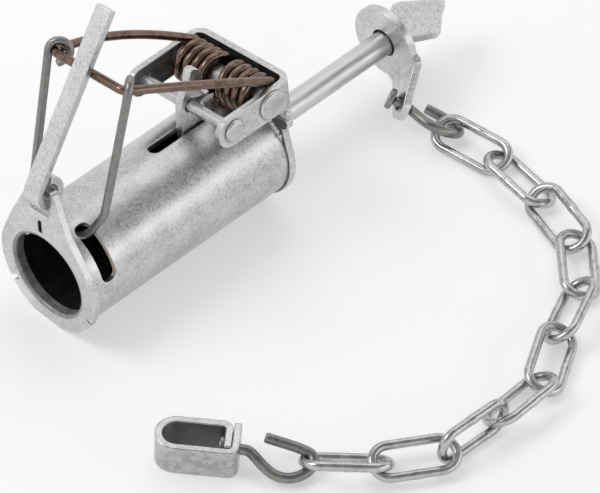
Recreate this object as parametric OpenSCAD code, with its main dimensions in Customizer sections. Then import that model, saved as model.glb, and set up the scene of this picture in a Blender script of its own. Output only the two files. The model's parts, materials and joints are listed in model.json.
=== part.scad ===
// Raccoon trap: a short steel tube foothold trap with its stake rod and chain.
// Millimetres. X runs from the mouth to the rod, Z is up, the chain lies on the -Y side.

/* [Tube] */
// outside diameter of the tube
tube_d = 42.2; // [40:0.1:44]
// wall of the tube
tube_wall = 2; // [1.6:0.1:2.4]
// where the tube ends, behind the front plate's face
tube_end = 93.5; // [92:0.5:96]
// roll of the whole trap about the tube, as it lies on the floor
lean = 10.5; // [6:0.5:14]
// height of the tube's axis over the floor
axis_h = 21.9; // [21.9:0.1:22.1]
// front edge of the side slots
side_slot_x = 7.2; // [7:0.1:7.4]
// width of the side slots
side_slot_w = 6.2; // [6:0.1:6.6]
// start of the side slots, in degrees from the top
side_slot_from = 22; // [20:1:24]
// end of the side slots, in degrees from the top
side_slot_to = 84; // [82:1:86]
// width of the top slot for the trigger
top_slot_w = 5; // [4.6:0.1:6]
// front end of the top slot
top_slot_x = 51; // [48:0.5:54]
// length of the top slot
top_slot_l = 30; // [28:0.5:32]

/* [Front plate] */
// thickness of the front plate
plate_t = 3; // [2.5:0.1:3.4]
// radius of the front plate's round part
plate_r = 22.7; // [22.3:0.1:23]
// diameter of the mouth
mouth_d = 31.75; // [30:0.25:33]
// depth of the turned-in lip of the mouth
lip = 1.2; // [0.8:0.1:1.4]
// gap between the mouth's collar and the tube's bore
lip_gap = 1.2; // [1:0.1:1.3]
// height of the ear over its bend
ear_h = 15.2; // [14.8:0.1:15.6]
// half width of the ear at its top
ear_half = 5.6; // [5.4:0.1:6]
// height over the axis where the ear bends back
ear_bend_z = 21.5; // [21.3:0.1:22]
// how far the ear bends back, in degrees
ear_bend = 12; // [10:1:14]
// half width of the window
window_half = 4.9; // [4.6:0.1:5]
// height of the window over the bend
window_low = 5.2; // [5:0.1:5.6]
// height of the strip over the window
strip_h = 2.6; // [2.4:0.1:2.8]
// width of the narrow slits
slit_w = 1.8; // [1.4:0.1:2]

/* [Rear end] */
// thickness of the end plate
end_t = 2.8; // [2.4:0.1:3]
// radius of the end plate's round part
end_r = 22.1; // [22:0.1:22.4]
// outside width of the bracket
bracket_w = 46.4; // [46:0.1:47]
// thickness of the bracket's strap
strap_t = 2.5; // [2:0.1:2.6]
// front end of the bracket's ears
bracket_x = 63; // [62:0.5:64]
// low edge of the ears
ear_low = 24.3; // [24:0.1:24.6]
// high edge of the ears
ear_high = 35.7; // [35.5:0.1:36]
// low edge of the bracket's back wall
back_low = 12; // [11:0.5:13]
// diameter of the stake rod
rod_d = 9; // [8.6:0.1:9.4]
// front face of the swivel bracket on the rod
swivel_x = 161.5; // [160:0.5:162]
// from the swivel bracket's front face to the spade's tip
spade_l = 31; // [28.5:0.5:33.5]
// half width of the spade
spade_half = 11; // [10:0.5:12]
// thickness of the spade
spade_t = 3; // [2.6:0.1:3.2]
// turn of the spade about the rod, in degrees
spade_turn = 5; // [0:1:10]

/* [Pins] */
// diameter of the trigger pin
trigger_pin_d = 4.4; // [4.2:0.1:4.6]
// place of the trigger pin along the tube
trigger_pin_x = 70; // [69.5:0.1:70.5]
// diameter of the spring pin
spring_pin_d = 8; // [7.6:0.1:8.2]
// diameter of the trigger pin's heads
trigger_head_d = 8.3; // [8:0.1:8.6]
// diameter of the spring pin's heads
spring_head_d = 10.6; // [10.2:0.1:10.8]
// height of the pins' domed heads
head_h = 1.9; // [1.6:0.1:2.2]
// place of the spring pin along the tube
spring_pin_x = 87.6; // [87.4:0.1:87.7]
// height of both pins over the tube's axis
pin_z = 30.2; // [30:0.1:30.4]
// how much larger a hole is than what turns or sits in it, on the radius
fit_gap = 0.05; // [0.03:0.01:0.08]

/* [Spring] */
// wire of the spring and the bow
bow_wire = 3.2; // [3:0.05:3.3]
// radius of the coils to the wire's centre
coil_r = 6.8; // [6.7:0.05:6.8]
// place of the outermost coil, from the middle
coil_out = 18.8; // [18.7:0.05:18.85]
// place where the fixed coils start, from the middle
coil_start = 16.95; // [16.9:0.05:17]
// place of the innermost coil, from the middle
coil_in = 2.4; // [2.3:0.05:2.5]
// forward reach of the bow's cross-piece from the spring pin
bow_reach = 57.3; // [56:0.1:58]
// rise of the cross-piece over the spring pin
bow_rise = 38.5; // [38:0.1:39]
// how far the bow's arms stand out in their middle
arm_out = 3.2; // [2:0.1:3.4]
// how far the bow's arms arch up in their middle
arm_up = 2.2; // [1.8:0.1:2.6]
// half width of the cross-piece
bow_half = 17; // [16.5:0.1:17.5]
// bend radius of the bow's corners
bow_bend = 3; // [2.6:0.1:3.2]

/* [Stirrup] */
// wire of the stirrup
stirrup_wire = 3; // [2.9:0.05:3.1]
// place of the loop's bottom along the tube, behind the front edge of the slots
loop_x = 1.7; // [1.5:0.1:1.9]
// height of the loop's bottom over the tube's axis
loop_z = 13.1; // [12.8:0.1:13.4]
// half width of the loop
stirrup_half = 17; // [16.6:0.1:17]
// radius of the hooks round the cross-piece
hook_r = 3.5; // [3.45:0.05:3.6]
// place of the hooks, from the middle
hook_y = 12.3; // [11.5:0.1:12.4]

/* [Dog and trigger] */
// width of the dog
dog_w = 7; // [6.6:0.1:7.4]
// thickness of the dog
dog_t = 2.8; // [2.6:0.1:3]
// inside radius of the dog's eye
dog_eye = 3.2; // [3:0.1:3.4]
// length of the dog from its hinge
dog_l = 65.3; // [63:0.1:67]
// gap between the dog and the bow that it leans on
dog_gap = 0.55; // [0.4:0.05:0.7]
// thickness of the trigger
trigger_t = 3.4; // [3:0.1:3.6]

/* [Swivel bracket] */
// radius of the bracket's round head
head_r = 14; // [13:0.5:15]
// thickness of the bracket
swivel_t = 3; // [2.6:0.1:3.2]
// distance from the rod to the bend
bend_at = 13; // [12.5:0.5:14]
// width at the bend
swivel_w = 20; // [19:0.5:21]
// width at the tab's end
tab_w = 11; // [10:0.5:12]
// length of the tab to its end hole
tab_l = 13; // [12.5:0.5:14]
// turn of the bracket about the rod, in degrees
swivel_turn = 211.4; // [209:0.2:213]
// angle between the tab and the head, in degrees
tab_angle = 48.6; // [47:0.2:50]
// clearance round the rod
swivel_gap = 0.75; // [0.6:0.05:1]
// diameter of the washer
washer_d = 21; // [19:0.5:23]
// thickness of the washer
washer_t = 2; // [1.6:0.1:2.4]

/* [Chain and hooks] */
// wire of the chain links
link_wire = 3.3; // [3.1:0.05:3.4]
// length of a link to its wire's centres
link_l = 28.9; // [28.7:0.1:29]
// width of a link to its wire's centres
link_w = 12; // [11.9:0.05:12.1]
// wire of the two hooks
hook_wire = 3.6; // [3.4:0.1:3.7]
// height of the box swivel's strap
box_h = 12.5; // [12:0.5:13]
// width of the box swivel
box_w = 14.5; // [14:0.5:15.5]
// length of the box swivel
box_l = 28.5; // [28:0.5:30]
// thickness of the box swivel's strap
box_t = 2.6; // [2.4:0.1:2.8]

/* [Hidden] */
$fn = 64;
tube_r = tube_d / 2;
bore_r = tube_r - tube_wall;
bracket_half = bracket_w / 2;
zinc = [0.72, 0.72, 0.68];
dark = [0.45, 0.44, 0.42];
bronze = [0.55, 0.45, 0.33];

// moves from the trap's own frame to the floor's
module trap() {
  translate([0, 0, axis_h])
    rotate([-lean, 0, 0])
      children();
}

// keeps what is over the floor
module on_floor() {
  difference() {
    children();
    translate([-20, -60, -20])
      cube([220, 120, 20]);
  }
}

// a straight round bar between two points
module bar(a, b, d) {
  v = b - a;
  translate(a)
    rotate([0, acos(v.z / norm(v)), atan2(v.y, v.x)])
      cylinder(d = d, h = norm(v));
}

// part of a bent wire, in the XY plane from the X axis on
module bend(r, d, angle) {
  rotate_extrude(angle = angle)
    translate([r, 0])
      circle(d = d, $fn = 32);
}

// a cross shaft with a low domed head at each end
module headed_pin(x, d, head_d) {
  reach = bracket_half + 0.1;
  translate([x, 0, pin_z])
    rotate([90, 0, 0]) {
      cylinder(d = d, h = 2 * reach, center = true);
      for (side = [0, 180])
        rotate([side, 0, 0])
          translate([0, 0, reach])
            intersection() {
              translate([0, 0, head_h - head_d * 0.75])
                sphere(r = head_d * 0.75);
              cylinder(d = head_d, h = 2 * head_h);
            }
    }
}

module tube() {
  arc = (side_slot_to - side_slot_from) / 2;
  color(zinc) trap() difference() {
    translate([plate_t, 0, 0])
      rotate([0, 90, 0])
        difference() {
          cylinder(r = tube_r, h = tube_end - plate_t, $fn = 96);
          translate([0, 0, -1])
            cylinder(r = bore_r, h = tube_end, $fn = 96);
        }
    for (side = [-1, 1])
      rotate([-side * (side_slot_from + side_slot_to) / 2, 0, 0])
        translate([side_slot_x, 0, 0])
          rotate([0, 90, 0])
            linear_extrude(height = side_slot_w)
              polygon([[0, 0], [-40 * cos(arc), 40 * sin(arc)], [-40 * cos(arc), -40 * sin(arc)]]);
    translate([top_slot_x + top_slot_w / 2, 0, bore_r / 2])
      cylinder(d = top_slot_w, h = tube_r);
    translate([top_slot_x + top_slot_l - top_slot_w / 2, 0, bore_r / 2])
      cylinder(d = top_slot_w, h = tube_r);
    translate([top_slot_x + top_slot_w / 2, -top_slot_w / 2, bore_r / 2])
      cube([top_slot_l - top_slot_w, top_slot_w, tube_r]);
  }
}

module front_plate() {
  ear_foot = ear_half + ear_h * tan(28.5);
  color(zinc) on_floor() trap() {
    difference() {
      union() {
        rotate([0, 90, 0])
          cylinder(r = plate_r, h = plate_t, $fn = 96);
        rotate([90, 0, 90])
          linear_extrude(height = plate_t)
            polygon([[-plate_r * 0.855, plate_r * 0.49], [-ear_foot, ear_bend_z],
                     [ear_foot, ear_bend_z], [plate_r * 0.855, plate_r * 0.49]]);
        translate([plate_t - 0.5, 0, 0])
          rotate([0, 90, 0])
            cylinder(r = bore_r - lip_gap, h = 0.5 + lip, $fn = 96);
      }
      translate([-1, 0, 0])
        rotate([0, 90, 0])
          cylinder(d = mouth_d, h = 12, $fn = 96);
      translate([-1, 0, 0])
        rotate([0, 90, 0])
          cylinder(r1 = mouth_d / 2 + 2.2, r2 = mouth_d / 2 - 0.1, h = 2.3, $fn = 96);
      for (a = [120, 240])
        rotate([a, 0, 0])
          translate([-1, -slit_w / 2, 19])
            cube([plate_t + 2, slit_w, 10]);
      translate([-1, -slit_w / 2, 19.5])
        cube([plate_t + 2, slit_w, 10]);
      translate([-1, -30, ear_bend_z])
        cube([plate_t + 2, 60, 10]);
    }
    translate([0, 0, ear_bend_z])
      rotate([0, ear_bend, 0])
        difference() {
          rotate([90, 0, 90])
            linear_extrude(height = plate_t)
              polygon([[-ear_foot, 0], [ear_foot, 0], [ear_half, ear_h], [-ear_half, ear_h]]);
          translate([-1, -window_half, window_low])
            cube([plate_t + 2, 2 * window_half, ear_h - strip_h - window_low]);
          translate([-1, -slit_w / 2, -2])
            cube([plate_t + 2, slit_w, 4.5]);
        }
  }
}

module end_plate() {
  flat = 19;
  color(zinc) on_floor() trap()
    translate([tube_end, 0, 0])
      difference() {
        union() {
          rotate([0, 90, 0])
            cylinder(r = end_r, h = end_t, $fn = 96);
          rotate([90, 0, 90])
            linear_extrude(height = end_t)
              polygon([[-bracket_half, 14], [-bracket_half, flat], [bracket_half, flat],
                       [bracket_half, 14], [21, -5], [-21, -5]]);
        }
        translate([-1, -30, flat])
          cube([end_t + 2, 60, 10]);
      }
}

module bracket() {
  back_x = tube_end + end_t;
  mid = (ear_low + ear_high) / 2;
  half_h = (ear_high - ear_low) / 2;
  color(zinc) trap() difference() {
    union() {
      translate([back_x, -bracket_half, back_low])
        cube([strap_t, bracket_w, ear_high - back_low]);
      for (side = [-1, 1])
        translate([bracket_x + half_h, side * (bracket_half - strap_t / 2) - strap_t / 2, ear_low])
          cube([back_x - bracket_x - half_h + 0.5, strap_t, 2 * half_h]);
      for (side = [-1, 1])
        translate([bracket_x + half_h, side * (bracket_half - strap_t / 2), mid])
          rotate([90, 0, 0])
            cylinder(r = half_h, h = strap_t, center = true);
    }
    for (hole = [[trigger_pin_x, trigger_pin_d], [spring_pin_x, spring_pin_d]])
      translate([hole.x, 0, pin_z])
        rotate([90, 0, 0])
          cylinder(r = hole.y / 2 + fit_gap, h = 60, center = true);
    for (side = [-1, 1])
      translate([back_x + strap_t / 2, side * bracket_half, back_low])
        rotate([45, 0, 0])
          cube([strap_t + 2, 5, 5], center = true);
  }
}

module trigger_pin() {
  color(zinc) trap() headed_pin(trigger_pin_x, trigger_pin_d, trigger_head_d);
}

module spring_pin() {
  color(zinc) trap() headed_pin(spring_pin_x, spring_pin_d, spring_head_d);
}

// a wire along points, drawn as one closed skin with a number of sides
module wire_skin(points, d, sides) {
  count = len(points);
  function along(i) =
    let (v = points[min(i + 1, count - 1)] - points[max(i - 1, 0)]) v / norm(v);
  function flat(v, t) = let (w = v - (v * t) * t) w / norm(w);
  rings = [for (i = 0, u = flat([0, 1, 0.1], along(0)); i < count; i = i + 1, u = i < count ? flat(u, along(i)) : u)
    for (s = [0 : sides - 1])
      let (a = 360 * s / sides, w = cross(along(i), u))
        points[i] + (cos(a) * u + sin(a) * w) * d / 2];
  faces = [for (i = [0 : count - 2], s = [0 : sides - 1], half = [0, 1])
    let (a = i * sides + s, b = i * sides + (s + 1) % sides, c = a + sides, e = b + sides)
      half == 0 ? [a, c, b] : [b, c, e]];
  front = [for (s = [0 : sides - 1]) s];
  back = [for (s = [sides - 1 : -1 : 0]) (count - 1) * sides + s];
  polyhedron(points = rings, faces = concat(faces, [front, back]), convexity = 10);
}

// points of the two fixed coil banks and the loop between them, from the near side to the far side
coil_turns = 4;
coil_rings = 8;
coil_from = 186;
coil_to = 540 + 360 * (coil_turns - 1);
coil_steps = ceil((coil_to - coil_from) / 360 * coil_rings);
near_bank = [for (i = [0 : coil_steps])
  let (part = i / coil_steps, a = coil_from + (coil_to - coil_from) * part)
    [spring_pin_x + coil_r * sin(a), -coil_start + (coil_start - coil_in) * part,
     pin_z + coil_r * cos(a)]];
loop_points = [for (a = [30 : 30 : 150])
  [spring_pin_x - coil_in * 1.4 * sin(a), -coil_in * cos(a), pin_z - coil_r]];
far_bank = [for (i = [coil_steps : -1 : 0]) [near_bank[i].x, -near_bank[i].y, near_bank[i].z]];
spring_points = concat(near_bank, loop_points, far_bank);
coil_gaps = [for (i = [0 : len(spring_points) - 1], j = [i + 5 : 1 : len(spring_points) - 1])
  norm(spring_points[i] - spring_points[j]) - bow_wire];
echo(spring_gap = min(coil_gaps), spring_points = len(spring_points));

module spring_coils() {
  color(bronze) trap() wire_skin(spring_points, bow_wire, 6);
}

// the bow's wire in one half: end turn, arm and corner
module half_bow() {
  foot = [spring_pin_x + coil_r * sin(arm_slope), coil_out, pin_z + coil_r * cos(arm_slope)];
  head = [spring_pin_x - bow_reach, bow_half, pin_z + bow_rise];
  middle = (foot + head) / 2 + [0, arm_out, arm_up];
  run = head - middle;
  corner = middle + run * (1 - bow_bend / norm(run));
  translate([spring_pin_x, coil_out, pin_z])
    rotate([90, 0, 0])
      rotate([0, 0, -88])
        bend(coil_r, bow_wire, 88 + 90 - arm_slope);
  translate(foot) sphere(d = bow_wire + 0.1);
  bar(foot, middle, bow_wire);
  translate(middle) sphere(d = bow_wire + 0.1);
  bar(middle, corner, bow_wire);
  translate(corner) sphere(d = bow_wire + 0.1);
  bar(corner, head - [0, bow_bend, 0], bow_wire);
  translate(head - [0, bow_bend, 0]) sphere(d = bow_wire + 0.1);
}

// slope of the bow's arms, tangent to the top of the coils
arm_slope = atan2(bow_rise, bow_reach) - asin(coil_r / norm([bow_reach, bow_rise]));

module bow() {
  color(bronze) trap() {
    half_bow();
    mirror([0, 1, 0]) half_bow();
    bar([spring_pin_x - bow_reach, -bow_half + bow_bend, pin_z + bow_rise],
        [spring_pin_x - bow_reach, bow_half - bow_bend, pin_z + bow_rise], bow_wire);
  }
}

// the stirrup hangs from the cross-piece, with its loop in the side slots
stirrup_drop = [spring_pin_x - bow_reach - side_slot_x - loop_x, pin_z + bow_rise - loop_z];
stirrup_l = norm(stirrup_drop);
stirrup_tilt = atan2(stirrup_drop.x, stirrup_drop.y);

// one leg of the stirrup with its hook and half of the loop, in the stirrup's own plane
module half_stirrup() {
  d = stirrup_wire;
  rotate([90, 0, 0])
    translate([0, 0, -hook_y])
      rotate([0, 0, 60])
        bend(hook_r, d, 290);
  shoulder = [hook_r * cos(350), hook_y, hook_r * sin(350)];
  elbow = [2.2, stirrup_half + 0.6, -8];
  leg_end = [0, stirrup_half, -stirrup_l + stirrup_half];
  translate(shoulder) sphere(d = d + 0.1);
  bar(shoulder, elbow, d);
  translate(elbow) sphere(d = d + 0.1);
  bar(elbow, leg_end, d);
  translate(leg_end) sphere(d = d + 0.1);
  translate([0, 0, -stirrup_l + stirrup_half])
    rotate([90, 0, 90])
      rotate([0, 0, -90])
        bend(stirrup_half, d, 90);
}

module stirrup() {
  color(dark) trap()
    translate([spring_pin_x - bow_reach, 0, pin_z + bow_rise])
      rotate([0, stirrup_tilt, 0]) {
        half_stirrup();
        mirror([0, 1, 0]) half_stirrup();
      }
}

// centre of the strip over the window, where the dog turns
strip_mid = ear_h - strip_h / 2;
dog_x = plate_t / 2 * cos(ear_bend) + strip_mid * sin(ear_bend);
dog_z = ear_bend_z - plate_t / 2 * sin(ear_bend) + strip_mid * cos(ear_bend);

// the dog leans on the bow's cross-piece
dog_to_bow = [spring_pin_x - bow_reach - dog_x, pin_z + bow_rise - dog_z];
dog_slope = atan2(dog_to_bow.y, dog_to_bow.x) - asin((dog_eye - bow_wire / 2 - dog_gap) / norm(dog_to_bow));

module dog() {
  eye_out = dog_eye + dog_t;
  color(zinc) trap()
    translate([dog_x, 0, dog_z])
      rotate([0, -dog_slope, 0])
        difference() {
          union() {
            rotate([90, 0, 0])
              cylinder(r = eye_out, h = dog_w, center = true);
            translate([0, -dog_w / 2, dog_eye])
              cube([dog_l, dog_w, dog_t]);
          }
          rotate([90, 0, 0])
            cylinder(r = dog_eye, h = dog_w + 2, center = true);
        }
}

module trigger() {
  front = [[-5.2, -11.1], [-4.6, -5.3], [-4.2, 0.1], [-3.2, 3.8], [-1.9, 5.9], [0.4, 6.6], [0.6, 9.2]];
  top = [[0.7, 10.2], [1.8, 13.2], [3.3, 13.6], [5.3, 12.4], [6.6, 10.2], [6.7, 7.4]];
  notch = [[5.1, 2.9], [6.9, 0.3], [9.2, 0.9], [8.9, -0.3], [5.4, -1.6], [6.5, -3.8], [5, -10.7]];
  k = pin_z / 30.2;
  lever = [[3.2, -16], [-2.2, -24.6], [-10, -31.5], [-12.4, -29.4], [-5.6, -22.6], [-4.9, -15]];
  color(zinc) trap()
    translate([trigger_pin_x, 0, pin_z]) {
      rotate([90, 0, 0])
        difference() {
          linear_extrude(height = trigger_t, center = true)
            polygon([for (p = concat(front, top, notch, lever)) k * p]);
          cylinder(r = trigger_pin_d / 2 + fit_gap, h = 20, center = true);
        }
      translate([-10.9 * k, 0, -pin_z])
        rotate([0, -131, 0])
          translate([-5 * k, -6 * k, 0])
            cube([10 * k, 12 * k, 2 * k]);
    }
}

module rod() {
  color(zinc)
    translate([tube_end + end_t, 0, axis_h])
      rotate([0, 90, 0])
        cylinder(d = rod_d, h = swivel_x + swivel_t + 3.5 - tube_end - end_t);
}

module spade() {
  x0 = swivel_x + swivel_t + washer_t + 0.9;
  tip = swivel_x + spade_l;
  color(zinc)
    translate([0, 0, axis_h])
      rotate([-spade_turn, 0, 0])
        difference() {
          linear_extrude(height = spade_t, center = true)
            polygon([[x0, 5.2], [x0 + 3, 6.8], [x0 + 10, spade_half], [x0 + 13, spade_half - 1],
                     [tip - 5, 4], [tip - 1, 1.6], [tip, 0],
                     [tip - 1, -1.6], [tip - 5, -4], [x0 + 13, 1 - spade_half],
                     [x0 + 10, -spade_half], [x0 + 3, -6.8], [x0, -5.2]]);
          translate([x0 - 1, 0, 0])
            rotate([0, 90, 0])
              cylinder(d = rod_d + 2 * fit_gap, h = swivel_x + swivel_t + 3.5 - x0 + 1.2);
        }
}

module swivel_washer() {
  color(zinc)
    translate([swivel_x + swivel_t + 0.35, 0, axis_h])
      rotate([0, 90, 0])
        difference() {
          cylinder(d = washer_d, h = washer_t);
          translate([0, 0, -1])
            cylinder(d = rod_d + 2 * fit_gap, h = washer_t + 2);
        }
}

// the tab's end hole, and the two hooks' own frames
hook_hole = [swivel_x - 8.3, -18.4, 10.65];
upper_along = [0.443, -0.842, -0.308];
upper_side = [0.705, 0.539, -0.461];
upper_eye = 7.2;
upper_reach = 15.1;
box_hole = [hook_hole.x - 150.3, -90.3, 7];
lower_along = [0.634, -0.769, -0.085];
lower_side = [0.744, 0.577, 0.336];
lower_eye = 7.8;
lower_reach = 17.5;
box_heading = -50.5;

// moves to a point, with X along one direction and Y towards another
module aim(p, along, side) {
  x = along / norm(along);
  zz = cross(x, side);
  z = zz / norm(zz);
  y = cross(z, x);
  multmatrix([[x.x, y.x, z.x, p.x], [x.y, y.y, z.y, p.y], [x.z, y.z, z.z, p.z], [0, 0, 0, 1]])
    children();
}

module swivel_bracket() {
  mid = swivel_t / 2;
  color(zinc) difference() {
    translate([swivel_x, 0, axis_h])
      rotate([swivel_turn, 0, 0])
        difference() {
          union() {
            rotate([0, 90, 0])
              cylinder(r = head_r, h = swivel_t);
            translate([0, 0, -swivel_w / 2])
              cube([swivel_t, bend_at, swivel_w]);
            translate([0, 0, -swivel_w / 2])
              linear_extrude(height = swivel_w)
                polygon([[0, bend_at - 2], [swivel_t, bend_at - 2], [swivel_t, bend_at + 0.68],
                         [mid + mid * cos(tab_angle) + 0.02, bend_at + mid * sin(tab_angle)],
                         [mid - mid * cos(tab_angle), bend_at - mid * sin(tab_angle)]]);
            translate([mid, bend_at, 0])
              rotate([0, 0, tab_angle])
                rotate([0, -90, 0])
                  linear_extrude(height = swivel_t, center = true)
                    union() {
                      polygon([[-swivel_w / 2, 0], [swivel_w / 2, 0], [tab_w / 2, tab_l], [-tab_w / 2, tab_l]]);
                      translate([0, tab_l])
                        circle(d = tab_w);
                    }
          }
          translate([-1, 0, 0])
            rotate([0, 90, 0])
              cylinder(d = rod_d + 2 * swivel_gap, h = swivel_t + 2);
        }
    aim(hook_hole, upper_along, upper_side)
      rotate([0, 90, 0])
        cylinder(d = hook_wire + 1.4, h = 20, center = true);
  }
}

// a headed wire with an eye on its end, along X
module eye_hook(reach, eye, head_from) {
  rotate([0, 90, 0])
    translate([0, 0, -head_from])
      cylinder(d = hook_wire, h = head_from + reach - eye);
  translate([-head_from - 2.2, 0, 0])
    rotate([0, 90, 0])
      cylinder(d = 7.6, h = 2.4);
  translate([reach, 0, 0])
    rotate([0, 0, 172])
      bend(eye, hook_wire, 332);
}

module upper_hook() {
  color(dark) aim(hook_hole, upper_along, upper_side)
    eye_hook(upper_reach, upper_eye, 3.4);
}

module lower_hook() {
  color(dark) aim(box_hole, lower_along, lower_side)
    eye_hook(lower_reach, lower_eye, 3.5);
}

module box_swivel() {
  wide = box_w / 2;
  flat_x = -box_l + wide;
  color(zinc) difference() {
    translate([box_hole.x, box_hole.y, 0])
      rotate([0, 0, box_heading])
        difference() {
          union() {
            translate([flat_x, -wide, 0])
              cube([-flat_x, box_w, box_h]);
            translate([flat_x, 0, 0])
              cylinder(r = wide, h = box_h);
          }
          translate([flat_x, -wide + box_t, -1])
            cube([-flat_x - box_t, box_w - 2 * box_t, box_h + 2]);
          translate([flat_x, 0, -1])
            cylinder(r = wide - box_t, h = box_h + 2);
        }
    aim(box_hole, lower_along, lower_side)
      rotate([0, 90, 0])
        cylinder(d = hook_wire + 1.2, h = 9, center = true);
  }
}

// how the chain lies: where each link meets the next one, from the upper hook to the lower hook
lay = [[159.7, -33.5], [163.4, -56], [160.9, -78.7], [154.9, -100.7], [139.5, -117.6],
       [118.6, -126.7], [98.7, -137.9], [75.9, -138.6], [53.1, -137.7], [33.8, -125.5], [17.7, -109.2]];
meet = [for (p = lay) [p.x + hook_hole.x - 153.2, p.y]];
// turn of each link about its own length, and height of its middle
roll = [24, -21, 30, -17, 38, -22, 30, -85, -15, 35];
rise = [4.2, 3.9, 4.7, 4.3, 5.5, 4.8, 5.9, 7.7, 5.4, 5.2];

module chain_link(i) {
  v = meet[i + 1] - meet[i];
  r = link_w / 2;
  straight = link_l / 2 - r;
  color(zinc)
    translate([(meet[i].x + meet[i + 1].x) / 2, (meet[i].y + meet[i + 1].y) / 2, rise[i]])
      rotate([0, 0, atan2(v.y, v.x)])
        rotate([roll[i], 0, 0])
          for (end = [0, 180])
            rotate([0, 0, end]) {
              translate([straight, 0, 0])
                rotate([0, 0, -90])
                  bend(r, link_wire, 180);
              bar([-straight, r, 0], [straight, r, 0], link_wire);
            }
}

tube();
front_plate();
end_plate();
bracket();
trigger_pin();
spring_pin();
spring_coils();
rod();
spade();
swivel_washer();
bow();
stirrup();
dog();
trigger();
swivel_bracket();
upper_hook();
chain_link(0);  // link_1
chain_link(1);  // link_2
chain_link(2);  // link_3
chain_link(3);  // link_4
chain_link(4);  // link_5
chain_link(5);  // link_6
chain_link(6);  // link_7
chain_link(7);  // link_8
chain_link(8);  // link_9
chain_link(9);  // link_10
lower_hook();
box_swivel();
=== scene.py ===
# %% [markdown]
# # A tube foothold trap, dressed for its portrait
# The CAD model gives every piece its place and size. This lesson makes the same
# pieces again with rounded edges, bent wires, weld beads and real finishes.
# Shapes are drawn in millimetres, and the last step brings each one to metres.

# %% Load the frame
import json
import math

import bmesh
import bpy
from mathutils import Matrix, Vector


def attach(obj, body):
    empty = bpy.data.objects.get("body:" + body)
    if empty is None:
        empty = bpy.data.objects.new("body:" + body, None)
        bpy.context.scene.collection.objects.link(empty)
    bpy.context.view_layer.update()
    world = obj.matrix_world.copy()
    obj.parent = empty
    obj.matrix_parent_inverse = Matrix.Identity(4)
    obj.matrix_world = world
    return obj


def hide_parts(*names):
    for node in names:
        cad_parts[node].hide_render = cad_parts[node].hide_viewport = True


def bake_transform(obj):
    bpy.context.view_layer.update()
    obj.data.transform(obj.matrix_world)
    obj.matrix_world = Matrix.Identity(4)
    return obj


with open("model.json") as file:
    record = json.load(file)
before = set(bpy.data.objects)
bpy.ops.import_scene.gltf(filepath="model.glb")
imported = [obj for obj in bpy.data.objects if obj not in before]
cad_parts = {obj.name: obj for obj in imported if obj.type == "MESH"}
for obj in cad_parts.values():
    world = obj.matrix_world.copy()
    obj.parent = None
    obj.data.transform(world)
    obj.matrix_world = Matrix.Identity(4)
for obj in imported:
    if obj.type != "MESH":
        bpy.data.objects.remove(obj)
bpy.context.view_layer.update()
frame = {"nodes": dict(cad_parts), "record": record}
MM = 0.001
BODIES = frame["record"]["behaviour"]["bodies"]
BODY_OF = {node: body for body, members in BODIES.items() for node in members}
SLOT_OF = {row["node"]: row["material_slot"] for row in frame["record"]["subparts"]}

# %% [markdown]
# The trap lies rolled over by a few degrees, because its two plates stand on
# the floor on short flats. We model it upright, in its own frame, with X along
# the tube from the mouth, and then one matrix lays it down as the CAD has it.

# %% The trap's own frame
LEAN = math.radians(10.5)
AXIS_H = 21.9
LAY = Matrix.Translation((0, 0, AXIS_H * MM)) @ Matrix.Rotation(-LEAN, 4, "X")


def trap_point(x, y, z):
    """A point of the trap's own frame, in millimetres, as a point over the floor in metres."""
    return LAY @ (Vector((x, y, z)) * MM)


print("the mouth's centre is", tuple(round(v, 4) for v in trap_point(0, 0, 0)))

# %% [markdown]
# The camera looks down from the left front with a long lens, as in a product
# photo: nearly parallel lines, the tube running away to the upper right.
# Its aim is turned from the mouth to the middle of the picture, with no shift,
# so that the same camera can be moved round the trap for the other views.

# %% Camera
VIEW_AZ, VIEW_EL = math.radians(-43.0), math.radians(47.9)
DISTANCE, PX_PER_MM = 1.7, 2.97
FRAME_W, FRAME_H = 600, 493
MOUTH_PX = (48.4, 274.3)


def aim_camera():
    right = Vector((math.cos(VIEW_AZ), math.sin(VIEW_AZ), 0))
    look = Vector((-math.sin(VIEW_AZ) * math.cos(VIEW_EL),
                   math.cos(VIEW_AZ) * math.cos(VIEW_EL), -math.sin(VIEW_EL)))
    up = right.cross(look)
    mouth = Vector((0.6 * MM, 0, AXIS_H * MM))
    focal_px = PX_PER_MM * 1000 * DISTANCE
    centre = (look * focal_px + right * (FRAME_W / 2 - MOUTH_PX[0])
              - up * (FRAME_H / 2 - MOUTH_PX[1])).normalized()
    side = (right - centre * right.dot(centre)).normalized()
    top = side.cross(centre)
    data = bpy.data.cameras.new("camera")
    data.sensor_width = 36
    data.lens = 36 * focal_px / FRAME_W
    data.clip_start, data.clip_end = 0.05, 20
    cam = bpy.data.objects.new("camera", data)
    turn = Matrix((side, top, -centre)).transposed().to_4x4()
    cam.matrix_world = Matrix.Translation(mouth - look * DISTANCE) @ turn
    bpy.context.scene.collection.objects.link(cam)
    bpy.context.scene.camera = cam
    return data.lens


print("lens", round(aim_camera(), 1), "mm")

# %% [markdown]
# ## Steel, in shared effects
# All of the trap is steel, but no two finishes are alike: the tube is dipped
# in zinc and tumbled, the chain is bright, the spring is oil-blackened brown.
# What they share is mottling and a fine grain, so those become node groups
# with named inputs, and each finish sets them to its own values.

# %% Groups with named inputs


def add_inputs(tree, rows):
    """Named inputs for a node tree, from rows of name, kind and default."""
    for label, kind, value in rows:
        sock = tree.interface.new_socket(label, in_out="INPUT", socket_type="NodeSocket" + kind)
        if value is not None:
            sock.default_value = value


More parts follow.
